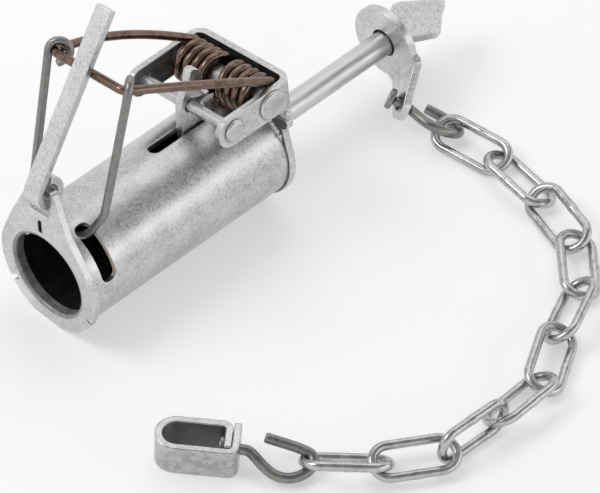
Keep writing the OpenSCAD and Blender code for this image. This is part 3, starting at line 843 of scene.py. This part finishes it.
rod = rounded([(BACK_X, 0), (BACK_X, ROD_R), (ROD_END, ROD_R), (ROD_END, 0)], [0, 0, 0.5, 0],
              closed=False)
from_bm("made_rod", lathe([(x, max(r, 0)) for x, r in rod], 64), "rod", on_axis, lay=False,
        finish="rod")
ring = rounded([(0, ROD_R + 0.05), (0, WASHER_R), (WASHER_T, WASHER_R), (WASHER_T, ROD_R + 0.05)],
               [0.2, 0.4, 0.4, 0.2])
from_bm("made_washer", lathe([(WASHER_X + x, r) for x, r in ring], 80), "swivel_washer", on_axis,
        lay=False)
half_spade = [(SPADE_X, 5.2), (SPADE_X + 3, 6.8), (SPADE_X + 10, 11), (SPADE_X + 13, 10),
              (187.5, 4), (191.4, 1.5)]
slit_end, slit_half = SWIVEL_X + SWIVEL_T + 3.6, ROD_R + 0.05
spade = [(slit_end, slit_half), (SPADE_X, slit_half)] + half_spade + [(SPADE_TIP, 0)]
spade += [(x, -y) for x, y in half_spade[::-1]] + [(SPADE_X, -slit_half), (slit_end, -slit_half)]
side_radii = [0, 0, 0.5, 1, 2, 2, 4, 0.6]
spade = rounded(spade, side_radii + [0.6] + side_radii[::-1])
from_bm("made_spade", slab([spade], SPADE_T, 0.45, 3), "spade",
        lambda p: on_axis(SPADE_TURN @ Vector((p.x, p.y, p.z - SPADE_T / 2))), lay=False)

# %% [markdown]
# A bent strap turns on the rod, between the tube and the washer, and the chain
# hangs from its tab. It is drawn flat as a disc with a tab, folded once and then
# turned to where the chain pulls it.

# %% Swivel bracket
HEAD_R, TAB_START, TAB_HOLE_X = 14, 13, 26
TAB_FOLD = [(DRAWING + TAB_START - 1.385, 2.6, 48.6)]
SWIVEL_TURN = Matrix.Rotation(math.radians(211.4), 4, "X")


def swivel_fold(p):
    along, left, head = fold_at(p.x + DRAWING, TAB_FOLD)
    side = SWIVEL_T / 2 - p.z
    q = Vector((SWIVEL_T / 2 - left - side * math.cos(head),
                along - DRAWING - side * math.sin(head), p.y))
    return SWIVEL_TURN @ q + Vector((SWIVEL_X, 0, AXIS_H))


tab = [(TAB_START, -9.8), (25.8, -5.6)] + arc(TAB_HOLE_X, 0, 5.5, -80, 80, 16)
tab += [(25.8, 5.6), (TAB_START, 9.8)]
swivel_outline = arc(0, 0, HEAD_R, 45.6, 314.4, 64) + tab
swivel_holes = [arc(x, 0, r, 0, 360, n)[:-1] for x, r, n in ((0, 5.25, 48), (TAB_HOLE_X, 2.5, 24))]
swivel_bm = slab([swivel_outline] + swivel_holes, SWIVEL_T, 0.45, 3)
slice_across(swivel_bm, 0, [c - DRAWING for c in fold_cuts(TAB_FOLD, 8)])
from_bm("made_swivel_bracket", swivel_bm, "swivel_bracket", swivel_fold, lay=False)

# %% [markdown]
# ## Dog and trigger
# The dog is a flat bar whose end is rolled round the top of the ear's window,
# so it is a thick path: straight, then most of a turn. When the trap is set,
# it lies back over the bow and its tip is caught by the trigger.

# %% Dog
DOG_T, DOG_W, DOG_EYE, DOG_L = 2.8, 7.0, 3.2, 65.3


def thick_path(points, width):
    """The outline of a strip of even width along a flat path."""
    pts = [Vector(p) for p in points]
    left, right = [], []
    for i, p in enumerate(pts):
        d = (pts[min(i + 1, len(pts) - 1)] - pts[max(i - 1, 0)]).normalized()
        n = Vector((-d.y, d.x)) * width / 2
        left.append(tuple(p + n))
        right.append(tuple(p - n))
    return left + right[::-1]


bar_y = DOG_EYE + DOG_T / 2
bar_path = [(DOG_L, bar_y), (20, bar_y)] + arc(0, 0, bar_y, 90, 385, 40)
strip_mid, lean_back = EAR_H - 1.3, math.radians(EAR_LEAN)
DOG_HINGE = Vector((
    PLATE_T / 2 * math.cos(lean_back) + strip_mid * math.sin(lean_back), 0,
    EAR_Z - PLATE_T / 2 * math.sin(lean_back) + strip_mid * math.cos(lean_back)))
DOG_TURN = Matrix.Rotation(math.radians(-51.2), 4, "Y")
dog_bm = slab([thick_path(bar_path, DOG_T)], DOG_W, 0.4, 3)
from_bm("made_dog", dog_bm, "dog",
        lambda p: DOG_HINGE + DOG_TURN @ Vector((p.x, DOG_W / 2 - p.z, p.y)))

# %% [markdown]
# The trigger is punched from thicker plate: a nose over the pin, a notch that
# catches the dog, and a lever that hangs in the tube with a small pan on it. An
# outline with its own radius at each corner is enough.

# %% Trigger
TRIGGER_T, PAN_T, PAN_X = 3.4, 2, 59.1
nose = [(-5.2, -11.1), (-4.6, -5.3), (-4.2, 0.1), (-3.2, 3.8), (-1.9, 5.9), (0.4, 6.6),
        (0.6, 9.2), (0.7, 10.2), (1.8, 13.2), (3.3, 13.6), (5.3, 12.4), (6.6, 10.2), (6.7, 7.4)]
nose_radii = [3, 3, 3, 2, 1, 0.5, 1, 1.2, 1, 1.2, 1.2, 1.2, 2]
notch = [(5.1, 2.9), (6.9, 0.3), (9.2, 0.9), (8.9, -0.3), (5.4, -1.6), (6.5, -3.8), (5, -10.7)]
notch_radii = [1, 0.8, 0.4, 0.3, 1, 1, 2]
lever = [(3.2, -16), (-2.2, -24.6), (-10, -31.5), (-12.4, -29.4), (-5.6, -22.6), (-4.9, -15)]
lever_radii = [4, 4, 1, 0.8, 4, 4]
outline = rounded(nose + notch + lever, nose_radii + notch_radii + lever_radii, 4)
trigger_bm = slab([outline, arc(0, 0, 2.3, 0, 360, 24)[:-1]], TRIGGER_T, 0.35, 3)
from_bm("made_trigger", trigger_bm, "trigger",
        lambda p: Vector((TRIGGER_X + p.x, TRIGGER_T / 2 - p.z, PIN_Z + p.y)))
PAN_TURN = Matrix.Rotation(math.radians(-131), 4, "Y")
pan_bm = slab([rounded(oblong(-5, 5, -6, 6), 2)], PAN_T, 0.3)
from_bm("trigger_pan", pan_bm, "trigger", lambda p: Vector((PAN_X, 0, 0)) + PAN_TURN @ p,
        hide=False)

# %% [markdown]
# ## Wires
# The bow, the stirrup, the hooks and the chain are all bent wire. A node tree
# turns any path into wire: the path's edges become a curve, a circle runs along
# it, and the curve's radius says how thick the wire is at each point.

# %% The sweep


def path_tree(name, extras, make_scale):
    """A tree that sweeps a circle along a path of edges; make_scale sizes it on the way."""
    tree = bpy.data.node_groups.new(name, "GeometryNodeTree")
    add_inputs(tree, [("Path", "Geometry", None), ("Wire Radius", "Float", 1.5),
                      ("Sides", "Int", 24), ("Finish", "Material", None)] + extras)
    tree.interface.new_socket("Wire", in_out="OUTPUT", socket_type="NodeSocketGeometry")
    start, end = tree.nodes.new("NodeGroupInput"), tree.nodes.new("NodeGroupOutput")
    curve = tree.nodes.new("GeometryNodeMeshToCurve")
    tree.links.new(start.outputs["Path"], curve.inputs["Mesh"])
    size = tree.nodes.new("GeometryNodeSetCurveRadius")
    tree.links.new(curve.outputs["Curve"], size.inputs["Curve"])
    tree.links.new(make_scale(tree, start.outputs), size.inputs["Radius"])
    circle = tree.nodes.new("GeometryNodeCurvePrimitiveCircle")
    tree.links.new(start.outputs["Wire Radius"], circle.inputs["Radius"])
    tree.links.new(start.outputs["Sides"], circle.inputs["Resolution"])
    sweep = tree.nodes.new("GeometryNodeCurveToMesh")
    tree.links.new(size.outputs["Curve"], sweep.inputs["Curve"])
    tree.links.new(circle.outputs["Curve"], sweep.inputs["Profile Curve"])
    sweep.inputs["Fill Caps"].default_value = True
    if "Scale" in sweep.inputs:
        radius = tree.nodes.new("GeometryNodeInputRadius")
        tree.links.new(radius.outputs[0], sweep.inputs["Scale"])
    real = tree.nodes.new("GeometryNodeRealizeInstances")
    tree.links.new(sweep.outputs["Mesh"], real.inputs["Geometry"])
    paint = tree.nodes.new("GeometryNodeSetMaterial")
    tree.links.new(real.outputs["Geometry"], paint.inputs["Geometry"])
    tree.links.new(start.outputs["Finish"], paint.inputs["Material"])
    tree.links.new(paint.outputs["Geometry"], end.inputs["Wire"])
    return tree


print("node groups so far:", len(bpy.data.node_groups))

# %% [markdown]
# Three rules give that radius. The ends of a cut wire are drawn in a little, a
# chain link bulges where it was welded shut, and a weld bead ripples. So there
# are three trees, each with a named input for what its rule needs.

# %% Wire trees


def cut_ends(tree, s):
    """The wire is drawn in over the last part of its length, as Chamfer says."""
    along = tree.nodes.new("GeometryNodeSplineParameter").outputs["Length"]
    whole = tree.nodes.new("GeometryNodeSplineLength").outputs["Length"]
    near = math_node(tree, "MINIMUM", along, math_node(tree, "SUBTRACT", whole, along))
    share = math_node(tree, "MINIMUM", math_node(tree, "DIVIDE", near, s["Chamfer"]), 1.0)
    grown = math_node(tree, "MULTIPLY", math_node(tree, "POWER", share, 0.6), 0.32)
    return math_node(tree, "ADD", grown, 0.68)


def weld_bulge(tree, s):
    """The wire swells beside the middle of one long side, where x is small and y is positive."""
    parts = tree.nodes.new("ShaderNodeSeparateXYZ")
    tree.links.new(tree.nodes.new("GeometryNodeInputPosition").outputs[0], parts.inputs[0])
    away = math_node(tree, "ABSOLUTE",
                     math_node(tree, "SUBTRACT", parts.outputs["X"], s["Weld At"]))
    fall = math_node(tree, "SUBTRACT", 1.0, math_node(tree, "DIVIDE", away, 2.0))
    bell = math_node(tree, "MAXIMUM", fall, 0.0)
    side = math_node(tree, "GREATER_THAN", parts.outputs["Y"], 1.0)
    swell = math_node(tree, "MULTIPLY", math_node(tree, "MULTIPLY", bell, side), s["Weld"])
    return math_node(tree, "ADD", swell, 1.0)


def ripple(tree, s):
    """A weld bead: the thickness rises and falls along it, and it thins out at both ends."""
    along = tree.nodes.new("GeometryNodeSplineParameter")
    whole = tree.nodes.new("GeometryNodeSplineLength").outputs["Length"]
    length = along.outputs["Length"]
    wave = math_node(tree, "SINE", math_node(tree, "MULTIPLY", length, s["Ripples"]))
    near = math_node(tree, "MINIMUM", length, math_node(tree, "SUBTRACT", whole, length))
    rise = math_node(tree, "ADD", math_node(tree, "DIVIDE", near, 2.5), 0.25)
    taper = math_node(tree, "MINIMUM", rise, 1.0)
    lumps = tree.nodes.new("ShaderNodeTexNoise")
    tree.links.new(tree.nodes.new("GeometryNodeInputPosition").outputs[0], lumps.inputs["Vector"])
    lumps.inputs["Scale"].default_value = 0.9
    lumpy = math_node(tree, "ADD", lumps.outputs["Fac"], 0.5)
    size = math_node(tree, "ADD", math_node(tree, "MULTIPLY", wave, 0.07), lumpy)
    return math_node(tree, "MULTIPLY", size, taper)


ROUND_WIRE = path_tree("round wire", [("Chamfer", "Float", 0.5)], cut_ends)
CHAIN_LINK = path_tree("chain link", [("Weld", "Float", 0.12), ("Weld At", "Float", 0.0)],
                       weld_bulge)
WELD_BEAD = path_tree("weld bead", [("Ripples", "Float", 4.0)], ripple)
print("trees:", ROUND_WIRE.name, CHAIN_LINK.name, WELD_BEAD.name)

# %% [markdown]
# A wire starts as a mesh of bare edges. Three more points close to each end let
# the tree draw the end in. The result is made a plain mesh at once, so that no
# modifier is left on the piece.

# %% Paths and wires
END_STEPS = (0.12, 0.3, 0.55)


def wire(name, points, radius, node, tree=ROUND_WIRE, closed=False, turn=None, finish=None,
         more=None, **rest):
    """A piece of wire along points in millimetres; more holds other inputs of the tree."""
    pts = [Vector(p) for p in points]
    edges = [(i, (i + 1) % len(pts)) for i in range(len(pts))]
    if not closed:
        first, last = (pts[1] - pts[0]).normalized(), (pts[-2] - pts[-1]).normalized()
        pts = ([pts[0]] + [pts[0] + first * d for d in END_STEPS] + pts[1:-1]
               + [pts[-1] + last * d for d in END_STEPS[::-1]] + [pts[-1]])
        edges = [(i, i + 1) for i in range(len(pts) - 1)]
    host_mesh = bpy.data.meshes.new(name + " path")
    host_mesh.from_pydata(pts, edges, [])
    host = bpy.data.objects.new(name + " path", host_mesh)
    bpy.context.scene.collection.objects.link(host)
    sweep = host.modifiers.new("sweep", "NODES")
    sweep.node_group = tree
    values = {"Wire Radius": float(radius), "Finish": FINISH[finish or SLOT_OF[node]],
              **(more or {})}
    for item in tree.interface.items_tree:
        if item.item_type == "SOCKET" and item.in_out == "INPUT" and item.name in values:
            sweep[item.identifier] = values[item.name]
    mesh = flat_copy(host)
    bpy.data.objects.remove(host)
    if turn:
        mesh.transform(turn)
    place_piece(name, mesh, node, finish=finish, **rest)


def mirrored(points):
    """The points followed by their mirror image across the trap's middle plane."""
    return list(points) + [(x, -y, z) for x, y, z in reversed(points)]


# %% [markdown]
# ## Bow and spring
# Bow and spring are one wire. The bow ends after half a turn round the pin;
# from there each bank of coils runs inward to the loop in the middle. The banks
# turn with the bow at their outer ends and stay still at the loop, so they blend
# from one to the other.

# %% Bow
COIL_R, WIRE_R = 6.8, 1.6
FOOT_TURN, END_TURN, FOOT_Y, END_Y, LOOP_Y = 28.25, 182.0, 18.8, 17.0, 2.4
TIP_X, TIP_Y, TIP_Z = 30.3, 17.0, 68.7
ARM_SWELL = Vector((0, -3.5, 2.3))


def on_coil(turn, y):
    """A point of the coil's middle line; the turn is 0 at the top and grows rearward."""
    a = math.radians(turn)
    return (SPRING_X + COIL_R * math.sin(a), y, PIN_Z + COIL_R * math.cos(a))


end_turn = [on_coil(a, -END_Y - (FOOT_Y - END_Y) * (END_TURN - a) / (END_TURN - FOOT_TURN))
            for a in span(END_TURN, FOOT_TURN, 14)]
foot, tip = Vector(end_turn[-1]), Vector((TIP_X, -TIP_Y, TIP_Z))
arm = [tuple(foot.lerp(tip, t) + ARM_SWELL * 4 * t * (1 - t)) for t in span(0, 0.93, 16)[1:]]
corner = rounded([arm[-1], tuple(tip), (TIP_X, 0, TIP_Z)], 3, 8, closed=False)[1:-1]
wire("made_bow", mirrored(end_turn + arm + corner), WIRE_R, "bow", more={"Chamfer": 0.1})

# %% [markdown]
# The spring is really the same wire. Each half is a piece of its own here, which
# runs from the middle loop to the bow at its outer end and is tied to no body.

# %% Spring
BANK_TURNS = 1620.0
bank = [on_coil(a, -END_Y + (END_Y - LOOP_Y) * (a - END_TURN) / (BANK_TURNS - END_TURN))
        for a in span(END_TURN, BANK_TURNS, 112)]
half_loop = [(SPRING_X - 3.4 * math.sin(a), -LOOP_Y * math.cos(a), PIN_Z - COIL_R)
             for a in span(0, math.pi / 2, 8)[1:]]
for label, side in (("near", 1), ("far", -1)):
    path = [(x, y * side, z) for x, y, z in bank + half_loop]
    bend = (trap_point(SPRING_X, -LOOP_Y * side, PIN_Z), trap_point(SPRING_X, -16.9 * side, PIN_Z))
    wire("made_spring_" + label, path, WIRE_R, "spring_coils", hide=side > 0,
         more={"Chamfer": 0.1}, join=("trap", "bow_body", *bend))

# %% [markdown]
# ## Stirrup
# The stirrup hangs by open hooks on the two corners of the bow, each hook square
# to the corner's wire. It leans back, and runs down through the tube's side
# slots in one flat loop.

# %% Stirrup
STIRRUP_R, RING_R, RING_TURN, RING_TAIL = 1.5, 3.6, 228, 3.2
STIRRUP_TURN = (Matrix.Translation((TIP_X, 0, TIP_Z))
                @ Matrix.Rotation(math.radians(21.05), 4, "Y"))
RING = Vector((2.4, -16.9, -0.05))
OUT, UP = Vector((-0.707, -0.707, 0)), Vector((0, 0, 1))


def on_ring(turn, far=0.0):
    """A point of the near hook; the turn is 0 where the leg comes up and 90 at the top."""
    a = math.radians(turn)
    along = (UP * math.cos(a) - OUT * math.sin(a)) * far
    return tuple(RING + RING_R * (OUT * math.cos(a) + UP * math.sin(a)) + along)


hook = [on_ring(RING_TURN, RING_TAIL)] + [on_ring(a) for a in span(RING_TURN, 0, 28)]
leg = rounded([hook[-1], (0.6, -17.4, -45.6), (0.1, -11.4, -56.0), (0, 0, -59.55)],
              [0, 4.2, 10, 0], 10, closed=False)[1:-1]
foot_arc = [(0, -y, z) for y, z in ((7.5, -58.5), (3.8, -59.3))]
wire("made_stirrup", mirrored(hook + leg + foot_arc), STIRRUP_R, "stirrup", turn=STIRRUP_TURN,
     more={"Chamfer": 0.7})

# %% [markdown]
# ## Hooks and chain
# Each hook is a wire with a flat head that keeps it in its hole, and an eye that
# was hammered shut round a link. A smooth curve through a few measured points
# gives the eye's flattened shape; the head is turned.

# %% Hooks


def aimed(at, along, side):
    """A matrix to a point, with X along one direction and Y towards another."""
    x = Vector(along).normalized()
    z = x.cross(Vector(side)).normalized()
    return Matrix.Translation(at) @ Matrix((x, z.cross(x), z)).transposed().to_4x4()


def flowing(points, steps=5):
    """A smooth path through flat points, in cubic steps from one to the next."""
    pts = [Vector(p) for p in points]
    pts = [pts[0] * 2 - pts[1]] + pts + [pts[-1] * 2 - pts[-2]]
    out = []
    for a, b, c, d in zip(pts, pts[1:], pts[2:], pts[3:]):
        square, cube = a * 2 - b * 5 + c * 4 - d, b * 3 - a - c * 3 + d
        for t in span(0, 1, steps)[:-1]:
            p = (b * 2 + (c - a) * t + square * t ** 2 + cube * t ** 3) / 2
            out.append((p.x, p.y, 0))
    return out + [(pts[-2].x, pts[-2].y, 0)]


HOOK_R, HEAD_OUT, HEAD_LEN = 1.85, 3.8, 2.2


def eye_hook(name, node, place, head_at, path):
    """The hook's hole is at 0; the head starts at -head_at, and the eye follows the path."""
    wire("made_" + node, flowing([(-head_at, 0), (-head_at / 2, 0)] + path), HOOK_R, node,
         turn=place, lay=False, more={"Chamfer": 0.5})
    back = -head_at - HEAD_LEN
    rim = rounded([(back, 0), (back, HEAD_OUT), (-head_at, HEAD_OUT), (-head_at, 0)],
                  [0, 0.7, 0.7, 0], 4)
    from_bm(name, lathe([(x, max(r, 0.0)) for x, r in rim], 40), node, lambda p: place @ p,
            lay=False, hide=False)


BOX_AT = (2.9, -90.3)
UPPER = aimed((153.2, -18.4, 10.65), (0.443, -0.842, -0.308), (0.705, 0.539, -0.461))
LOWER = aimed((*BOX_AT, 7), (0.634, -0.769, -0.085), (0.744, 0.577, 0.336))
UPPER_PATH = [(0.5, 0), (2.2, -0.4), (4.6, -2.4), (7.6, -5), (11.2, -6.9), (15, -7), (18.6, -5.4),
              (21.4, -2.6), (22.3, 0.8), (21.4, 3.8), (18.6, 6.2), (14.2, 7.2), (8.4, 7.6)]
LOWER_PATH = [(0.5, 0), (2.9, -0.2), (5.2, -1.8), (8.2, -4.5), (12, -6.9), (16.2, -7.6),
              (20.2, -6.4), (23.4, -3.8), (24.6, -0.8), (23.6, 2.0), (19.4, 3.5), (14.5, 4.4),
              (7.6, 5.5)]
eye_hook("upper_hook_head", "upper_hook", UPPER, 3.4, UPPER_PATH)
eye_hook("lower_hook_head", "lower_hook", LOWER, 5.1, LOWER_PATH)

# %% [markdown]
# The links are one shape, laid where each pair meets and rolled a little. Each
# rides on its own body, so the chain can swing. Where a link was welded shut it
# is a bit thicker, more on one link than on the next, and every third link lies
# with its weld below.

# %% Links
MEET = [(159.7, -33.5), (163.4, -56), (160.9, -78.7), (154.9, -100.7), (139.5, -117.6),
        (118.6, -126.7), (98.7, -137.9), (75.9, -138.6), (53.1, -137.7), (33.8, -125.5),
        (17.7, -109.2)]
ROLL = [24, -21, 30, -17, 38, -22, 30, -85, -15, 35]
RISE = [4.2, 3.9, 4.7, 4.3, 5.5, 4.8, 5.9, 7.7, 5.4, 5.2]
LINK_R, HALF_L, HALF_W = 1.65, 28.9 / 2, 6.0
# the welded side has more points near its middle
welded = [(x, HALF_W) for x in (4, 2.5, 1.2, 0.6, 0, -0.6, -1.2, -2.5, -4)]
ring = (arc(HALF_L - HALF_W, 0, HALF_W, -90, 90, 20) + welded
        + arc(-HALF_L + HALF_W, 0, HALF_W, 90, 270, 20))
for i, (a, b) in enumerate(zip(MEET, MEET[1:])):
    a, b = Vector(a), Vector(b)
    middle, way = (a + b) / 2, math.atan2(b.y - a.y, b.x - a.x)
    turn = (Matrix.Translation((middle.x, middle.y, RISE[i])) @ Matrix.Rotation(way, 4, "Z")
            @ Matrix.Rotation(math.radians(ROLL[i]), 4, "X"))
    if i % 3 == 1:
        turn = turn @ Matrix.Rotation(math.pi, 4, "X")
    node = f"link_{i + 1}"
    wire("made_" + node, [(x, y, 0) for x, y in ring], LINK_R, node, CHAIN_LINK, closed=True,
         turn=turn, lay=False, more={"Weld": 0.08 + 0.02 * (i % 4), "Weld At": 0.4 * (i % 3) - 0.4})

# %% [markdown]
# ## Box swivel
# A strap with its ends overlapping on one side, bent to a D. The hook's shank
# turns in the hole through both layers. It is folded up like the bracket.

# %% Box swivel
BOX_L, BOX_H, BOX_T = 77.37, 12.5, 2.5
BOX_FOLDS = [(8.3, 3.14, 90), (26.74, 18.85, 180), (63.04, 3.93, 90)]
BOX_CORNER = (-3.95, -4.3)
SHANK_HOLES, SHANK_Z, SHANK_HOLE_R = (4.3, BOX_L - 6.9), 7, 2.4
BOX_PLACE = Matrix.Translation((*BOX_AT, 0)) @ Matrix.Rotation(math.radians(-50.5), 4, "Z")


def box_fold(p):
    along, left, head = fold_at(p.x, BOX_FOLDS)
    side = p.z - BOX_T / 2
    return BOX_PLACE @ Vector((BOX_CORNER[0] - left - side * math.cos(head),
                               BOX_CORNER[1] + along - side * math.sin(head), p.y))


holes = [arc(x, SHANK_Z, SHANK_HOLE_R, 0, 360, 24)[:-1] for x in SHANK_HOLES]
box_bm = slab([rounded(oblong(0, BOX_L, 0, BOX_H), 0.8)] + holes, BOX_T, 0.45, 3)
slice_across(box_bm, 0, fold_cuts(BOX_FOLDS, 7))
# the strap's inner faces take the strap_inside finish: painted shade
paint_faces(box_bm, 1, at_level(BOX_T))
from_bm("made_box_swivel", box_bm, "box_swivel", box_fold, lay=False,
        finish=["zinc_chain", "strap_inside"])

# %% [markdown]
# ## Weld beads
# The trap is welded where the bracket, the rod and the tube meet the end plate.
# A bead is a wire too, whose thickness ripples as the torch moved on.

# %% Welds


def bead(name, points, radius, node):
    wire(name, points, radius, node, WELD_BEAD, finish="weld", hide=False, smooth=180,
         more={"Sides": 16})


def ring_points(x, r, start, end, steps):
    """Points round the tube's axis; the angles are 0 at the top and grow to the near side."""
    turns = [math.radians(a) for a in span(start, end, steps)]
    return [(x, -r * math.sin(a), r * math.cos(a)) for a in turns]


for label, start, end in (("near", 18, 64), ("far", -64, -18)):
    bead("weld_tube_" + label, ring_points(TUBE_END - 0.2, TUBE_R + 0.5, start, end, 60), 1.1,
         "tube")
bead("weld_rod", ring_points(BACK_X + STRAP_T + 0.3, ROD_R + 0.3, -150, 150, 70), 0.7, "rod")
for label, side in (("near", -1), ("far", 1)):
    seat = [(BACK_X - 0.2 - 3 * t, side * (BRACKET_HALF - 0.2), 20.6 + 2.4 * t)
            for t in span(0, 1, 30)]
    bead("weld_bracket_" + label, seat, 1.0, "bracket")

# %% [markdown]
# ## The studio
# Product photos of steel are made in a white tent: white all round, which the
# steel mirrors, and dark overhead, which draws its edges. The floor has a little
# glow of its own, only as the camera and the metal see it, so it comes out white
# and still takes the shadows.

# %% Floor
FLOOR_HALF, FLOOR_GREY, FLOOR_GLOW = 4, 0.80, 0.35


def seen(tree):
    """1 where the camera looks, straight or by way of metal or glass."""
    path = tree.nodes.new("ShaderNodeLightPath")
    mirrored_ray = math_node(tree, "MAXIMUM", path.outputs["Is Glossy Ray"],
                             path.outputs["Is Transmission Ray"])
    return math_node(tree, "MAXIMUM", path.outputs["Is Camera Ray"], mirrored_ray)


floor_mat = bpy.data.materials.new("floor")
floor_mat.use_nodes = True
tree = floor_mat.node_tree
paint = tree.nodes["Principled BSDF"]
paint.inputs["Base Color"].default_value = (FLOOR_GREY, FLOOR_GREY, FLOOR_GREY, 1)
paint.inputs["Roughness"].default_value = 0.6
paint.inputs["Emission Color"].default_value = (1, 1, 1, 1)
tree.links.new(math_node(tree, "MULTIPLY", seen(tree), FLOOR_GLOW),
               paint.inputs["Emission Strength"])
mesh = bpy.data.meshes.new("floor")
corners = oblong(-FLOOR_HALF, FLOOR_HALF, -FLOOR_HALF, FLOOR_HALF)
mesh.from_pydata([(x, y, 0) for x, y in corners], [], [(0, 1, 2, 3)])
mesh.materials.append(floor_mat)
floor = bpy.data.objects.new("floor", mesh)
bpy.context.scene.collection.objects.link(floor)
print("floor", 2 * FLOOR_HALF, "m wide")

# %% [markdown]
# The world is the tent. Dull things get an even grey light from it, while metal
# and the camera see it as a ramp: white at the horizon and darker overhead. A
# small soft lamp over the left is the main light, with a large one behind on
# the right and a low strip in front.

# %% World and lamps
DULL_LIGHT = (0.36, 0.36, 0.36, 1)
TENT = [(0.0, 1.0), (0.36, 1.0), (0.60, 0.42), (1.0, 0.30)]
MIDDLE = (0.09, -0.04, 0.02)
scene = bpy.context.scene
world = bpy.data.worlds.new("studio")
scene.world = world
world.use_nodes = True
tree = world.node_tree
sky = tree.nodes["Background"]
sky.inputs["Strength"].default_value = 1.0
way = tree.nodes.new("ShaderNodeSeparateXYZ")
tree.links.new(tree.nodes.new("ShaderNodeTexCoord").outputs["Generated"], way.inputs[0])
metal_sees = ramp(tree, way.outputs["Z"], TENT)
tree.links.new(mix_color(tree, seen(tree), DULL_LIGHT, metal_sees), sky.inputs["Color"])


def lamp(name, place, size, power):
    """A soft box of a width and height in metres, aimed at the middle of the object."""
    data = bpy.data.lights.new(name, "AREA")
    data.shape, data.size, data.size_y, data.energy = "RECTANGLE", size[0], size[1], power
    obj = bpy.data.objects.new(name, data)
    obj.location = place
    aim = Vector(MIDDLE) - Vector(place)
    obj.rotation_euler = aim.to_track_quat("-Z", "Y").to_euler()
    scene.collection.objects.link(obj)


lamp("key", (-0.45, 0.45, 0.85), (0.5, 0.5), 3.4)
lamp("top", (0.50, 0.32, 0.85), (1.0, 0.7), 2.2)
lamp("front", (0.50, -0.90, 0.42), (1.2, 0.25), 1.1)
scene.view_settings.view_transform = "Standard"
